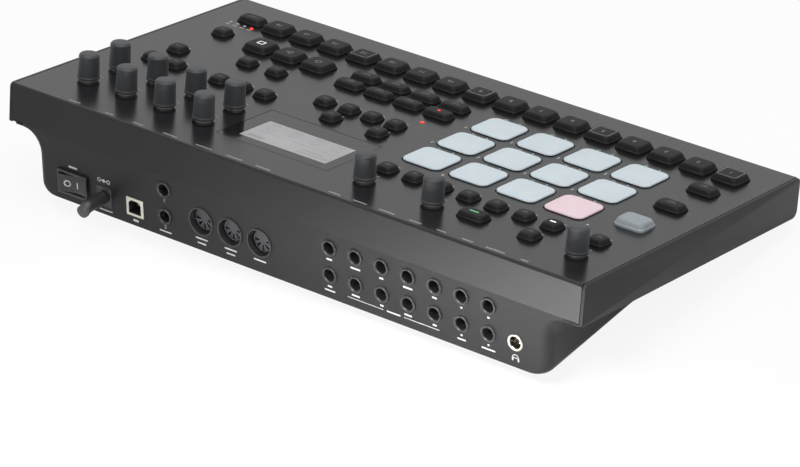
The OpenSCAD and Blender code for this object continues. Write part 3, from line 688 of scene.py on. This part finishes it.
def addLipAndStem(mesh, cap, x, y, foot):
    outline = roundedOutline(cap["width"] + 2 * keyLip, cap["depth"] + 2 * keyLip, cap["corner"])
    extrude(mesh, placed(outline, x, y), *keyUnder["lip"])
    lathe(mesh, [(keyUnder["stem"], foot), (keyUnder["stem"], keyUnder["stemTop"])], (x, y, 0), 20)


# one cap for each solid of the node; returns each cap with its place
def makeKeys(node, suffix):
    mesh = bmesh.new()
    made = []
    for box in solidBoxes(node, panelFrame):
        cap = keyTop(smallKey, box)
        if cap["depth"] > largeKey["over"]:
            cap = keyTop(largeKey, box)
        x, y = middle(box).xy
        made.append((cap, x, y))
        addCap(mesh, cap, (x, y), 1 if isPale(cap) else 0)
        addLipAndStem(mesh, cap, x, y, keyUnder["keyFoot"])
    finishPiece(node + suffix, mesh, panelFrame, node, [rubber, paleRubber], [node])
    return made


stepKeys = ["step_key_%d" % i for i in range(1, 17)]
transportKeys = ["transport_key_%d" % i for i in range(1, 4)]
banks = ["wide_keys", "mode_keys", "edit_keys"]
keyCaps = {node: makeKeys(node, "_cap") for node in stepKeys + transportKeys}
keyCaps.update({node: makeKeys(node, "_caps") for node in banks})
print("keys moulded")


# the height of a cap's crowned top at any place
def topOf(cap, cx, cy):
    inset, edgeHeight = cap["side"][-1]

    def heightAt(x, y):
        reach = max(abs(x - cx) / (cap["width"] - 2 * inset), abs(y - cy) / (cap["depth"] - 2 * inset))
        return edgeHeight + (cap["height"] - edgeHeight) * max(0.0, 1 - (2 * reach) ** 2)
    return heightAt


# legends printed on the keys; frames give width, depth, line and corner
stepLegend = {"size": 4.2, "frame": (12.0, 11.2, 0.35, 1.4)}
for i, node in enumerate(stepKeys):
    cap, x, y = keyCaps[node][0]
    mesh = bmesh.new()
    addNumber(mesh, str(i + 1), x, y, stepLegend["size"], topOf(cap, x, y))
    if i % 4 == 0:
        addFrame(mesh, x, y, *stepLegend["frame"], topOf(cap, x, y))
    finishPiece("step_legend_%d" % (i + 1), mesh, panelFrame, node, [greyInk])

transportLegend = {"ring": (2.0, 0.4), "arrow": [(-1.5, -1.9), (2.1, 0.0), (-1.5, 1.9)], "line": 0.4,
                   "frame": (4.4, 4.2, 0.5, 0.3)}
for i, node in enumerate(transportKeys):
    cap, x, y = keyCaps[node][0]
    mesh = bmesh.new()
    if i == 0:
        addRing(mesh, x, y, *transportLegend["ring"], topOf(cap, x, y))
    elif i == 1:
        addOutline(mesh, placed(transportLegend["arrow"], x, y), transportLegend["line"], topOf(cap, x, y))
    else:
        addFrame(mesh, x, y, *transportLegend["frame"], topOf(cap, x, y))
    legendInk = litWhite if i == 2 else greyInk
    finishPiece("transport_legend_%d" % (i + 1), mesh, panelFrame, node, [legendInk])

# small keys: a short bar each and a fainter one under it, three of them lit
bankLegend = {"share": 0.34, "bar": 0.75, "litBar": 1.1, "redShare": 0.3, "second": (1.44, 0.6, 0.6)}
litKeys = {(52, 153): 2, (89, 171): 1, (187, 69): 3}  # by the key's place, the colour of its legend
for node in banks:
    mesh = bmesh.new()
    for cap, x, y in keyCaps[node]:
        if isPale(cap):
            continue
        colour = litKeys.get((round(x), round(y)), 0)
        length = cap["width"] * bankLegend["share"] * (bankLegend["redShare"] if colour == 3 else 1)
        addBar(mesh, x, y, length, bankLegend["litBar" if colour else "bar"], topOf(cap, x, y), colour)
        if not colour and node != "edit_keys":
            drop, share, line = bankLegend["second"]
            addBar(mesh, x, y - drop, length * share, line, topOf(cap, x, y))
    finishPiece(node + "_legends", mesh, panelFrame, node, [fadedInk, litGreen, litWhite, litRed])
print("legends on keys printed")


# lit pads: flat silicone tops with a tight edge radius
padShape = {
    "height": 1.3, "corner": 4.6, "soft": 0.3, "darkBelow": 0.4, "glowAbove": 0.9, "pink": 9,
    "side": [(0.0, -2.3), (0.0, 0.35), (0.05, 0.9), (0.4, 1.22), (1.6, 1.26)],
}
padPlaces = []
for i in range(1, 13):
    node = "pad_%d" % i
    mesh = bmesh.new()
    box = solidBoxes(node, panelFrame)[0]
    cap = keyTop(padShape, box)
    x, y = middle(box).xy
    padPlaces.append((cap, x, y))
    addCap(mesh, cap, (x, y))
    # the side of each pad low on its wall takes the black rubber: painted shade of the dark gap round the pad
    for face in mesh.faces:
        face.material_index = 1 if face.calc_center_median().z < padShape["darkBelow"] else 0
    addLipAndStem(mesh, cap, x, y, keyUnder["padFoot"])
    layer = mesh.verts.layers.float.new("centreGlow")
    for vert in mesh.verts:
        reach = max(abs(vert.co.x - x), abs(vert.co.y - y)) / (cap["width"] / 2)
        vert[layer] = max(0.0, 1 - reach ** 3) if vert.co.z > padShape["glowAbove"] else 0.0
    silicone = padPink if i == padShape["pink"] else padWhite
    finishPiece(node + "_cap", mesh, panelFrame, node, [silicone, rubber], [node])
print("pads moulded")


# turning knobs; two of them carry a dot
knobShape = {
    "side": [(0.1, 1.25), (5.8, 1.25), (6.3, 1.5), (6.3, 2.6), (6.05, 3.0), (5.72, 14.75), (4.95, 15.75),
             (4.3, 15.95), (0.1, 16.0)],
    "soft": 0.3, "shaft": 3.0, "shaftTop": 1.9,
    "dot": [(0.75, -0.1), (0.75, 0.02), (0.6, 0.06), (0.1, 0.07)], "dotReach": 4.5, "dotHeight": 15.98,
    "dotAngle": radians(235), "dotted": ("volume_knob", "macro_knob"),
}
s = knobShape
knobPlaces = []
for node in sorted(n for n in frame["nodes"] if n.endswith("_knob") or n.startswith("data_knob")):
    box = solidBoxes(node, panelFrame)[0]
    x, y = middle(box).xy
    knobPlaces.append((x, y))
    mesh = bmesh.new()
    lathe(mesh, softened(s["side"], s["soft"]), (x, y, 0), 64)
    lathe(mesh, [(s["shaft"], box[0].z + 0.02), (s["shaft"], s["shaftTop"])], (x, y, 0), 32, 1)
    if node in s["dotted"]:
        dot = (x + s["dotReach"] * cos(s["dotAngle"]), y + s["dotReach"] * sin(s["dotAngle"]), s["dotHeight"])
        lathe(mesh, s["dot"], dot, 20, 2)
    finishPiece(node + "_cap", mesh, panelFrame, node, [softTouch, nickel, whiteInk], [node])

# ring nuts and washers that clamp the rotary parts to the sheet
ringNut = {"washer": 5.2, "foot": 0.02, "seat": 0.25, "nut": 4.8, "top": 0.85, "hole": 4.45, "flats": 18}


def band(outer, low, high):
    return [(ringNut["hole"], low), (outer, low), (outer, high), (ringNut["hole"], high)]


mesh = bmesh.new()
s = ringNut
for x, y in knobPlaces:
    # the washers take black zinc, dark as painted shade in the gap under each knob
    lathe(mesh, band(s["washer"], s["foot"], s["seat"]), (x, y, 0), 48, 1, False, False)
    lathe(mesh, softened(band(s["nut"], s["seat"], s["top"]), 0.15), (x, y, 0), s["flats"], 0, False, False)
finishPiece("rotary_ring_nuts", mesh, panelFrame, "base", [nickel, blackZinc], smooth=10)
print("knobs turned")


# lofts outlines about one place; each comes with its two scales and its height
def loftAt(mesh, x, y, levels, closeStart=True, closeEnd=True, material=0):
    rings = stacked([(placed(outline, x, y, scaleX, scaleY), z) for outline, scaleX, scaleY, z in levels])
    return loft(mesh, rings, closeStart, closeEnd, material)


# display: acrylic inked black from behind round a window that shows a lit panel
display = {"lit": (58.8, 26.7), "litAt": (217.4, 155.6), "edge": 0.25, "foot": -1.5, "play": 0.1}
lensBox = solidBoxes("display_lens", panelFrame)[0]
lensSize = lensBox[1] - lensBox[0]
lensX, lensY = middle(lensBox).xy
litX, litY = display["litAt"]
outer = roundedOutline(lensSize.x - display["play"], lensSize.y - display["play"], 0.8, 5, 6)
inner = placed(roundedOutline(*display["lit"], 0.4, 5, 6), litX - lensX, litY - lensY)
mesh = bmesh.new()
made = loftAt(mesh, lensX, lensY, [(outer, 1, 1, display["foot"]), (outer, 1, 1, -display["edge"]),
                                   (outer, 0.993, 0.99, 0.0), (inner, 1, 1, 0.0)], closeEnd=False)
mesh.faces.new(made[-1]).material_index = 1
finishPiece("display_window", mesh, panelFrame, "base", [inked, screenPale], ["display_lens"], 20)

# faint shapes on the panel: a row of dials with bars under them, and lines of a list above
dial = {"from": 7.4, "pitch": 14.7, "down": 5.6, "ring": (3.1, 0.35), "hand": (0.5, 2.4), "handDown": 4.6,
        "bar": (6.4, 0.9), "barDown": 10.6}
listLine = {"from": 12, "step": 2, "up": 9.8, "pitch": 3.4, "long": 20, "shorter": 6, "line": 1.1}
screen = bmesh.new()
litWide, litDeep = display["lit"]
left, right = litX - litWide / 2, litX + litWide / 2
addMark(screen, placed(roundedOutline(litWide - 2.4, litDeep - 2.6, 0.6, 4, 2), litX, litY), flat, 0.01, 1)
for column in range(4):
    x = left + dial["from"] + column * dial["pitch"]
    addRing(screen, x, litY - dial["down"], *dial["ring"])
    addBar(screen, x, litY - dial["barDown"], *dial["bar"])
    addBar(screen, x - 0.9 + column * 0.6, litY - dial["handDown"], *dial["hand"])
for row in range(2):
    x, y = left + listLine["from"] + row * listLine["step"], litY + listLine["up"] - row * listLine["pitch"]
    addBar(screen, x, y, listLine["long"] - row * listLine["shorter"], listLine["line"])
addBar(screen, right - 9, litY + 9.6, 11, 2.4)
addBar(screen, litX, litY + 1.0, litWide - 6, 0.3)
finishPiece("display_content", screen, panelFrame, "base", [screenInk, screenInner])

# lamps: one beside the wide keys and four by the page key; the first two are lit
lampPlaces = [(188, 83.2)] + [(346.1 + 5.1 * i, 37) for i in range(4)]
lampShape = [(1.04, -2.0), (1.04, 0.34), (0.6, 0.5), (0.08, 0.54)]
lampMesh = bmesh.new()
for i, (x, y) in enumerate(lampPlaces):
    lathe(lampMesh, softened(lampShape, 0.2), (x, y, 0), 24, 0 if i < 2 else 1)
finishPiece("panel_lamps", lampMesh, panelFrame, "base", [litRed, paleLamp])
print("display and lamps in place")


# printed marks on the sheet: plain numbers and bars in front of the keys
ink = bmesh.new()


def addLabel(cap, x, y, drop, width, line):
    addBar(ink, x, y - cap["depth"] / 2 - drop, width, line)


for i, node in enumerate(stepKeys):
    addLabel(*keyCaps[node][0], 3.2, 7.5 if i % 4 else 5.0, 0.9)
for node in transportKeys:
    addLabel(*keyCaps[node][0], 2.8, 6.5, 0.9)
for node in banks:
    for cap, x, y in keyCaps[node]:
        addLabel(cap, x, y, 2.2, min(cap["width"] * 0.55, 8), 0.8)
padLabel = {"number": 2.6, "numberAt": 6.4, "tick": (1.2, 1.0), "tickAt": -2.6, "drop": 3.2,
            "dash": (0.6, 2.8), "dashAt": (15.2, 10.0), "dashed": 8}
for i, (cap, x, y) in enumerate(padPlaces, 1):
    down = y - cap["depth"] / 2 - padLabel["drop"]
    addNumber(ink, "%02d" % i, x + padLabel["numberAt"], down, padLabel["number"], material=1)
    addBar(ink, x + padLabel["tickAt"], down, *padLabel["tick"], material=1)
    if i <= padLabel["dashed"]:
        addBar(ink, x + padLabel["dashAt"][0], y + padLabel["dashAt"][1], *padLabel["dash"], material=1)
for x, y in sorted(knobPlaces):
    addBar(ink, x, y - 9.4, 6.0, 0.8)
for x, y in lampPlaces[1:]:
    addBar(ink, x, y + 2.9, 3.0, 0.9, material=1)
# a bar for each socket along the rear edge of the sheet, by its place and width
rearBars = [(38, 5), (56, 12), (73.5, 7), (90, 6), (106.5, 8), (125, 10), (142.5, 9), (159, 8), (207, 10),
            (226.5, 11), (247.5, 11), (271, 10), (293.5, 7), (314, 6), (339, 8)]
for x, width in rearBars:
    addBar(ink, x, 197.6, width, 1.0)
finishPiece("panel_print", ink, panelFrame, "base", [greyInk, whiteInk])
print("panel printed")


# round jacks: a ring nut with its teeth, given past the nut's radius and by angle, and a spring in the bore
jackShape = {
    "bore": 3.25, "mouth": 3.8, "nut": 4.75, "height": 0.9, "depth": 12.0, "teeth": 24,
    "tooth": ((-0.05, -0.07), (0.1, -0.04), (0.1, 0.04), (-0.05, 0.07)),
    "spring": [(-0.6, 2.2), (0.6, 2.2), (0.6, 2.6), (-0.6, 2.6)], "springRun": (-9, -4),
}
s = jackShape
edge = s["height"] - 0.5
jackSide = softened([(s["nut"], 0.05), (s["nut"], edge), (s["nut"] - 0.3, s["height"]),
                     (s["mouth"], s["height"]), (s["bore"] + 0.1, edge), (s["bore"], s["height"] - 1),
                     (s["bore"], -s["depth"])], 0.12, 3)
jackPlaces = sorted((round(middle(box).y, 1), round(middle(box).x, 1)) for box in jackBoxes)
phonesX = min(x for down, x in jackPlaces)
sockets = bmesh.new()
for down, x in jackPlaces:
    ring = 1 if x == phonesX else 0
    lathe(sockets, jackSide, (x, down, 0), 48, ring, closeStart=False)
    for k in range(s["teeth"]):
        a = 2 * pi * k / s["teeth"]
        tooth = [(x + (s["nut"] + past) * cos(a + e), down + (s["nut"] + past) * sin(a + e))
                 for past, e in s["tooth"]]
        extrude(sockets, tooth, 0.1, edge, ring)
    extrude(sockets, placed(s["spring"], x, down), *s["springRun"], 2)
finishPiece("jack_sockets", sockets, socketFrame, "base", [nylon, nickel, nickel], ["signal_jacks"])

# round multi-pin socket: thick collar, sunken insert with a fan of five slots and a key notch
dinShape = {
    "outer": 8.4, "body": 7.95, "bore": 7.5, "height": 0.6, "insert": 6.4, "face": -3.0, "floor": -6.5,
    "shield": (7.2, 7.0), "shieldTop": -2.5, "slot": [(2.3, -0.35), (5.5, -0.75), (5.5, 0.75), (2.3, 0.35)],
    "deep": 3.2, "notch": [(-1.5, -5.9), (1.5, -5.9), (1.5, -4.6), (-1.5, -4.6)],
    "spring": [(0.5, 0.0), (0.5, 1.6), (0.3, 2.0), (0.1, 2.05)], "springAt": 4.6, "springFoot": -6.0,
}
d = dinShape
fan = [radians(a) for a in (0, 45, 90, 135, 180)]
dinSide = softened([(d["body"], d["floor"]), (d["body"], 0.05), (d["outer"], 0.05), (d["outer"], d["height"]),
                    (d["bore"], d["height"]), (d["bore"], d["floor"]), (d["insert"], d["floor"])], 0.3, 3)
shieldSide = [(d["shield"][0], d["floor"]), (d["shield"][0], d["shieldTop"]),
              (d["shield"][1], d["shieldTop"]), (d["shield"][1], d["floor"])]
dins = bmesh.new()
for box in dinBoxes:
    x, down = middle(box).xy
    lathe(dins, dinSide, (x, down, 0), 56, 0, False, False)
    lathe(dins, shieldSide, (x, down, 0), 56, 3, False, False)
    slots = [placed([(u * cos(a) - v * sin(a), u * sin(a) + v * cos(a)) for u, v in d["slot"]], x, down)
             for a in fan]
    slots.append(placed(d["notch"], x, down))
    rim = addPierced(dins, circle(x, down, d["insert"], 56), slots, d["face"], d["face"] - d["deep"], 1, 0)
    bridge(dins, rim, levelled(dins, rim, d["floor"]), 1)
    for a in fan[2:]:
        spring = (x + d["springAt"] * cos(a), down + d["springAt"] * sin(a), d["springFoot"])
        lathe(dins, d["spring"], spring, 12, 2)
dinFinishes = [nylon, insertPlastic, nickel, blackZinc]
finishPiece("round_sockets", dins, socketFrame, "base", dinFinishes, ["din_sockets"])

# data port: square metal frame, mouth with two cut corners, tongue with contacts inside
portShape = {
    "mouth": [(-4.3, 4.0), (4.3, 4.0), (4.3, -2.2), (2.5, -4.0), (-2.5, -4.0), (-4.3, -2.2)],
    "front": 0.6, "back": -14.0, "deep": -9.0, "tongue": (5.6, 3.2), "shoulder": -4.3, "tip": -4.0,
    "contact": (0.9, 0.5), "contactAt": (1.3, 1.5),
}
s = portShape
port = bmesh.new()
portSize = portBox[1] - portBox[0]
px, py = middle(portBox).xy
outline = roundedOutline(portSize.x, portSize.y, 0.3, 5, 7)
side = loftAt(port, px, py, [(outline, 1, 1, s["back"]), (outline, 1, 1, s["front"] - 0.15)], closeEnd=False)
rim, rimEdges = addLoop(port, stacked([(placed(outline, px, py, 0.98, 0.98), s["front"])])[0])
bridge(port, side[-1], rim)
lip, lipEdges = addLoop(port, stacked([(placed(s["mouth"], px, py), s["front"])])[0])
fillFlat(port, lipEdges + rimEdges)
# the mouth's inner walls and floor take the black nylon: painted shade inside the metal shell
inside = levelled(port, lip, s["deep"])
bridge(port, lip, inside, 1)
port.faces.new(inside).material_index = 1
tongue = roundedOutline(*s["tongue"], 0.3, 4, 1)
loftAt(port, px, py, [(tongue, 1, 1, s["deep"]), (tongue, 1, 1, s["shoulder"]),
                      (tongue, 0.9, 0.85, s["tip"])], material=3)
for up in (1, -1):
    for along in (-1, 1):
        contact = roundedOutline(*s["contact"], 0.1, 3, 0)
        contact = placed(contact, px + along * s["contactAt"][0], py + up * s["contactAt"][1])
        addMark(port, contact, lambda x, y: s["shoulder"], 0.3, 2)
portFinishes = [tin, nylon, nickel, insertPlastic]
finishPiece("data_port", port, socketFrame, "base", portFinishes, ["usb_port"])

# power inlet frame, and the plug that stands in it
inletShape = {"frame": (10.5, 11.9, 0.6), "bore": (5.6, 5.6, 2.79), "back": -13, "edge": 0.3, "face": 0.5,
              "lip": 0.1, "deep": -9.5}
s = inletShape
ix, iy = middle(inletBox).xy
inlet = bmesh.new()
outline, bore = roundedOutline(*s["frame"], 5, 2), roundedOutline(*s["bore"], 5, 2)
loftAt(inlet, ix, iy, [
    (outline, 1, 1, s["back"]), (outline, 1, 1, s["edge"]), (outline, 0.96, 0.96, s["face"]),
    (bore, 1.12, 1.12, s["face"]), (bore, 1, 1, s["lip"]), (bore, 1, 1, s["deep"])])
finishPiece("inlet_frame", inlet, socketFrame, "base", [nylon], ["power_inlet"])

plugShape = {
    "barrel": 2.7, "barrelRun": (-9.4, 0.9), "radius": 3.7, "start": 0.8, "length": 14.0, "turn": 7.0,
    "sag": 1.2, "bend": 3.0, "tail": 3.8, "tailEnd": 3.6, "groove": 0.18,
}
p = plugShape
plug = bmesh.new()
barrelFrom, barrelTo = p["barrelRun"]
barrel = softened([(0.1, barrelFrom), (p["barrel"], barrelFrom), (p["barrel"], barrelTo)], 0.3)
lathe(plug, barrel, (ix, iy, 0), 32, 1, closeEnd=False)
# stations along the plug: place down the panel, place out of it, radius, lean of the section
bendOut = p["start"] + p["length"]
lean = radians(p["turn"])
stations = [(0.0, p["start"] + out, p["radius"] - less, 0.0)
            for out, less in ((0.0, 0.6), (0.15, 0.2), (0.5, 0.0))]
stations += [(0.0, p["start"] + p["length"] * k / 6, p["radius"], 0.0) for k in (1, 2, 3, 4, 5)]
for k in range(7):
    part = k / 6
    out = bendOut + p["bend"] * (part - 0.5)
    stations.append((p["sag"] * part ** 2, out, p["radius"] - 0.12 * part, lean * part))
tailFrom = len(stations)
for k in range(1, 9):
    part = k / 8
    along = (p["tail"] - 1.5) * part
    radius = p["radius"] - (p["radius"] - p["tailEnd"]) * part - (p["groove"] if k % 2 else 0.0)
    out = bendOut + p["bend"] / 2 + along * cos(lean)
    stations.append((p["sag"] + (1.0 + along) * sin(lean), out, radius, lean))
tailDown, tailOut = stations[-1][:2]
stations += [(tailDown + more * sin(lean), tailOut + more * cos(lean), p["tailEnd"] - less, lean)
             for more, less in ((0.35, 0.3), (0.5, 0.9))]
rings = [[(ix + a, iy + down + b * cos(bend), out - b * sin(bend)) for a, b in circle(0, 0, radius, 40)]
         for down, out, radius, bend in stations]
loft(plug, rings[:tailFrom], closeStart=False, closeEnd=False)
# the tail and end take the paler vinyl, a painted highlight
loft(plug, rings[tailFrom - 1:], closeStart=False, material=2)
bmesh.ops.remove_doubles(plug, verts=plug.verts, dist=1e-5)
finishPiece("plug_body", plug, socketFrame, "base", [vinyl, nickel, tailHighlightVinyl], ["power_plug"], 45)

# power switch: bezel, and a rocker with a dished face that stands pressed at its first side
switch = {
    "bezel": (21.7, 14.8, 1.2), "well": (18.6, 11.4, 0.7), "body": (19.6, 12.7, 0.6), "high": 1.95,
    "turn": 16.0, "half": 8.6, "deep": 10.7, "foot": (8.2, -2.0), "middle": 2.4, "wings": 1.3,
    "dish": 0.12, "endDrop": 0.25,
}
s = switch
bx, by = middle(switchBox).xy
outer, well, body = (roundedOutline(*s[key], 6, 3) for key in ("bezel", "well", "body"))
bezel = bmesh.new()
loftAt(bezel, bx, by, [
    (body, 1, 1, -12), (body, 1, 1, 0.1), (outer, 1, 1, 0.12), (outer, 1, 1, 1.2), (outer, 0.985, 0.98, 1.7),
    (outer, 0.95, 0.93, s["high"]), (well, 1.03, 1.04, s["high"]), (well, 1, 1, 1.7), (well, 1, 1, -5.9)])
finishPiece("switch_bezel", bezel, socketFrame, "base", [polycarbonate], ["rocker_housing"], 30)


def rockerSide(x):
    return switch["middle"] + switch["wings"] * (abs(x) / switch["half"]) ** 1.5


def rockerTop(x, y):
    return rockerSide(x) - switch["dish"] * (1 - (2 * y / switch["deep"]) ** 2)


rockerFrame = (socketFrame @ Matrix.Translation((bx, by, -1.0))
               @ Matrix.Rotation(-radians(s["turn"] / 2), 4, "Y"))
rocker = bmesh.new()
steps = 24
profile = []
for k in range(steps + 1):
    x = -s["half"] + 2 * s["half"] * k / steps
    profile.append((x, rockerSide(x) - (s["endDrop"] if k in (0, steps) else 0.0)))
footX, footZ = s["foot"]
outline = [(footX, footZ)] + profile[::-1] + [(-footX, footZ)]
halfDeep = s["deep"] / 2
stations = ((-halfDeep, 0.3), (-halfDeep + 0.15, 0.1), (-halfDeep + 0.4, 0.0), (0.0, s["dish"]),
            (halfDeep - 0.4, 0.0), (halfDeep - 0.15, 0.1), (halfDeep, 0.3))
loft(rocker, [[(x, y, z if z < 0 else z - drop) for x, z in outline] for y, drop in stations])
finishPiece("switch_rocker", rocker, rockerFrame, "power_rocker", [polycarbonate],
            ["power_rocker"], 30)
rockerMark = {"at": 3.3, "ring": 2.2, "line": 0.85, "bar": 4.3}
rockerMarks = bmesh.new()
addRing(rockerMarks, rockerMark["at"], 0.0, rockerMark["ring"], rockerMark["line"], rockerTop)
addBar(rockerMarks, -rockerMark["at"], 0.0, rockerMark["line"], rockerMark["bar"], rockerTop)
finishPiece("switch_marks", rockerMarks, rockerFrame, "power_rocker", [whiteInk])

# printed marks of the socket panel: numbers, bars, and thin lines that group the sockets
rearPrint = {"below": 6.8, "second": 9.3, "bar": 0.85, "number": 3.0, "line": 0.35, "lineAt": 34.6,
             "groups": ((88.0, 111.0), (124.5, 148.0)), "joined": 9.0}
r = rearPrint
rearInk = bmesh.new()
signal = [(x, down) for down, x in jackPlaces if x != phonesX and x < 200]
control = [(x, down) for down, x in jackPlaces if x > 200]
columns = sorted({round(x, 1) for x, down in signal})
labelWidths = (1.3, 1.3, 3.0, 6.0, 2.6, 6.4, 3.6)
secondWidths = {0: 8.6, 1: 5.4, 6: 7.0}
upperRow = min(down for x, down in signal)
for x, down in signal:
    column = columns.index(round(x, 1))
    upper = down < upperRow + 2
    addBar(rearInk, x, down + r["below"], labelWidths[column] * (1 if upper else 0.8) + 0.2, 1.05)
    if not upper and column in secondWidths:
        addBar(rearInk, x, down + r["second"], secondWidths[column], r["bar"])
for number, (x, down) in zip("12", sorted(control, key=lambda place: place[1])):
    addNumber(rearInk, number, x, down + r["below"] - 0.3, r["number"], turn=pi)
addBar(rearInk, control[0][0], max(down for x, down in control) + r["second"], 8.6, r["bar"])
for k, box in enumerate(sorted(dinBoxes, key=lambda b: b[0].x)):
    x, down = middle(box).xy
    addBar(rearInk, x, down + 10.6, 8.4, r["bar"])
    if k:
        addBar(rearInk, x, down + 13.4, 6.0, r["bar"])
for x0, x1 in r["groups"]:
    addBar(rearInk, (x0 + x1) / 2, r["lineAt"], x1 - x0, r["line"])
addBar(rearInk, (r["groups"][0][1] + r["groups"][1][0]) / 2, r["lineAt"], r["joined"], r["bar"])
addBar(rearInk, px, py + 8.2, 4.0, 1.5)
addBar(rearInk, ix - 0.6, iy + 8.4, 9.4, r["bar"])
addBar(rearInk, bx, by - 9.8, 6.2, 1.2)
# polarity symbol over the inlet: two rings joined to a dot
symbol = {"down": -9.6, "at": 3.3, "ring": 1.3, "line": 0.5, "dot": 1.05, "link": 1.4}
for side in (-1, 1):
    addRing(rearInk, ix + side * symbol["at"], iy + symbol["down"], symbol["ring"], symbol["line"])
    addBar(rearInk, ix + side * symbol["link"], iy + symbol["down"], symbol["link"], symbol["line"])
addMark(rearInk, circle(ix, iy + symbol["down"], symbol["dot"], 16), flat)
# headphone symbol: a band and two cups
phones = {"radius": 1.9, "at": 9.2, "line": 0.4, "cup": (0.9, 1.9), "cupAt": (1.8, 10.1)}
phonesDown = [down for down, x in jackPlaces if x == phonesX][0]
bandPoints = [(phonesX + phones["radius"] * cos(a), phonesDown + phones["at"] - phones["radius"] * sin(a))
              for a in (0, 0.5, 1.05, 1.57, 2.09, 2.64, pi)]
addOutline(rearInk, bandPoints, phones["line"], flat)
for side in (-1, 1):
    addBar(rearInk, phonesX + side * phones["cupAt"][0], phonesDown + phones["cupAt"][1], *phones["cup"])
finishPiece("socket_print", rearInk, socketFrame, "base", [whiteInk])
print("sockets in place")


# floor, soft lamps and camera
floorMesh = bmesh.new()
bmesh.ops.create_grid(floorMesh, x_segments=24, y_segments=24, size=30.0)
floorData = bpy.data.meshes.new("floor")
floorMesh.to_mesh(floorData)
floorMesh.free()
floor = addObject("floor", floorData)

sweepWhite = 0.9  # how much of the sweep's white is its own, where it is seen
glossWhite = 0.3  # the same in reflections, where the light that falls on it counts for more


# 1 for rays from the camera, and for those of the listed kinds
def seenDirectly(tree, *kinds):
    path = addNode(tree, "ShaderNodeLightPath")
    seen = path.outputs["Is Camera Ray"]
    for kind in kinds:
        links = {0: seen, 1: path.outputs[kind]}
        seen = addNode(tree, "ShaderNodeMath", {"operation": "MAXIMUM"}, links).outputs[0]
    return seen


# pale paper sweep; seen directly it is white, and it still takes the shadow
paperLook = {"Base Color": linear("#f4f4f4"), "Roughness": 0.9}
material, tree, paper, where = startMaterial("sweepPaper", paperLook)
fibre = addNode(tree, "ShaderNodeTexNoise", {"Scale": 0.9, "Detail": 2.0}, {"Vector": where})
bump = addNode(tree, "ShaderNodeBump", {"Strength": 0.1, "Distance": 0.1 * mm},
               {"Height": fibre.outputs["Fac"]})
tree.links.new(bump.outputs["Normal"], paper.inputs["Normal"])
white = addNode(tree, "ShaderNodeEmission", {"Color": (1.0, 1.0, 1.0, 1.0), "Strength": 1.0})
seen = seenDirectly(tree, "Is Transmission Ray")
plain = addNode(tree, "ShaderNodeMath", {"operation": "MULTIPLY", 1: sweepWhite}, {0: seen})
gloss = addNode(tree, "ShaderNodeLightPath").outputs["Is Glossy Ray"]
inGloss = addNode(tree, "ShaderNodeMath", {"operation": "MULTIPLY", 1: glossWhite}, {0: gloss})
share = addNode(tree, "ShaderNodeMath", {"operation": "MAXIMUM"},
                {0: plain.outputs[0], 1: inGloss.outputs[0]})
mix = addNode(tree, "ShaderNodeMixShader",
              links={0: share.outputs[0], 1: paper.outputs[0], 2: white.outputs[0]})
tree.links.new(mix.outputs[0], tree.nodes["Material Output"].inputs["Surface"])
floorData.materials.append(material)

lamps = {
    "top": {"at": (-0.3, 0.3, 1.7), "aim": (0, 0, 0), "size": (1.6, 1.6), "power": 26, "spread": 180},
    "sweepPool": {"at": (-0.14, 0.36, 0.26), "aim": (-0.14, 0.36, 0), "size": (0.22, 0.22), "power": 4.4,
                  "spread": 100},
}
for name, lamp in lamps.items():
    light = bpy.data.lights.new(name, "AREA")
    light.shape = "RECTANGLE"
    light.size, light.size_y = lamp["size"]
    light.energy = lamp["power"]
    light.spread = radians(lamp["spread"])
    holder = addObject(name, light)
    holder.location = lamp["at"]
    holder.rotation_euler = (Vector(lamp["aim"]) - Vector(lamp["at"])).to_track_quat("-Z", "Y").to_euler()
    holder.visible_camera = False

world = bpy.data.worlds.new("studio")
bpy.context.scene.world = world
world.use_nodes = True
world.node_tree.nodes.clear()
tree = world.node_tree
fill = addNode(tree, "ShaderNodeBackground", {"Color": linear("#ffffff"), "Strength": 0.22})
backdrop = addNode(tree, "ShaderNodeBackground", {"Color": linear("#ffffff"), "Strength": 1.0})
seen = seenDirectly(tree, "Is Glossy Ray", "Is Transmission Ray")
choice = addNode(tree, "ShaderNodeMixShader", links={0: seen, 1: fill.outputs[0], 2: backdrop.outputs[0]})
addNode(tree, "ShaderNodeOutputWorld", links={"Surface": choice.outputs[0]})

view = {
    "from": (-926.4, 1650.8, 746.8),  # panel millimetres
    "right": (-0.793287, -0.605511, 0.063662),
    "down": (-0.283382, 0.274657, -0.918835),
    "ahead": (0.538879, -0.746941, -0.389473),
    "lens": 170.3, "shift": (0.0125, -0.0007),
}
cameraData = bpy.data.cameras.new("camera")
cameraData.lens = view["lens"]
cameraData.sensor_width = 36
cameraData.shift_x, cameraData.shift_y = view["shift"]
cameraData.clip_end = 50
camera = addObject("camera", cameraData)
turn = panelFrame.to_3x3().normalized()
right, down, ahead = (turn @ Vector(view[key]) for key in ("right", "down", "ahead"))
axes = Matrix([right, -down, -ahead]).transposed()
camera.matrix_world = Matrix.Translation(panelFrame @ Vector(view["from"])) @ axes.to_4x4()
bpy.context.scene.camera = camera
bpy.context.scene.view_settings.view_transform = "Standard"
print("stage, lamps and camera set")

bpy.context.view_layer.update()
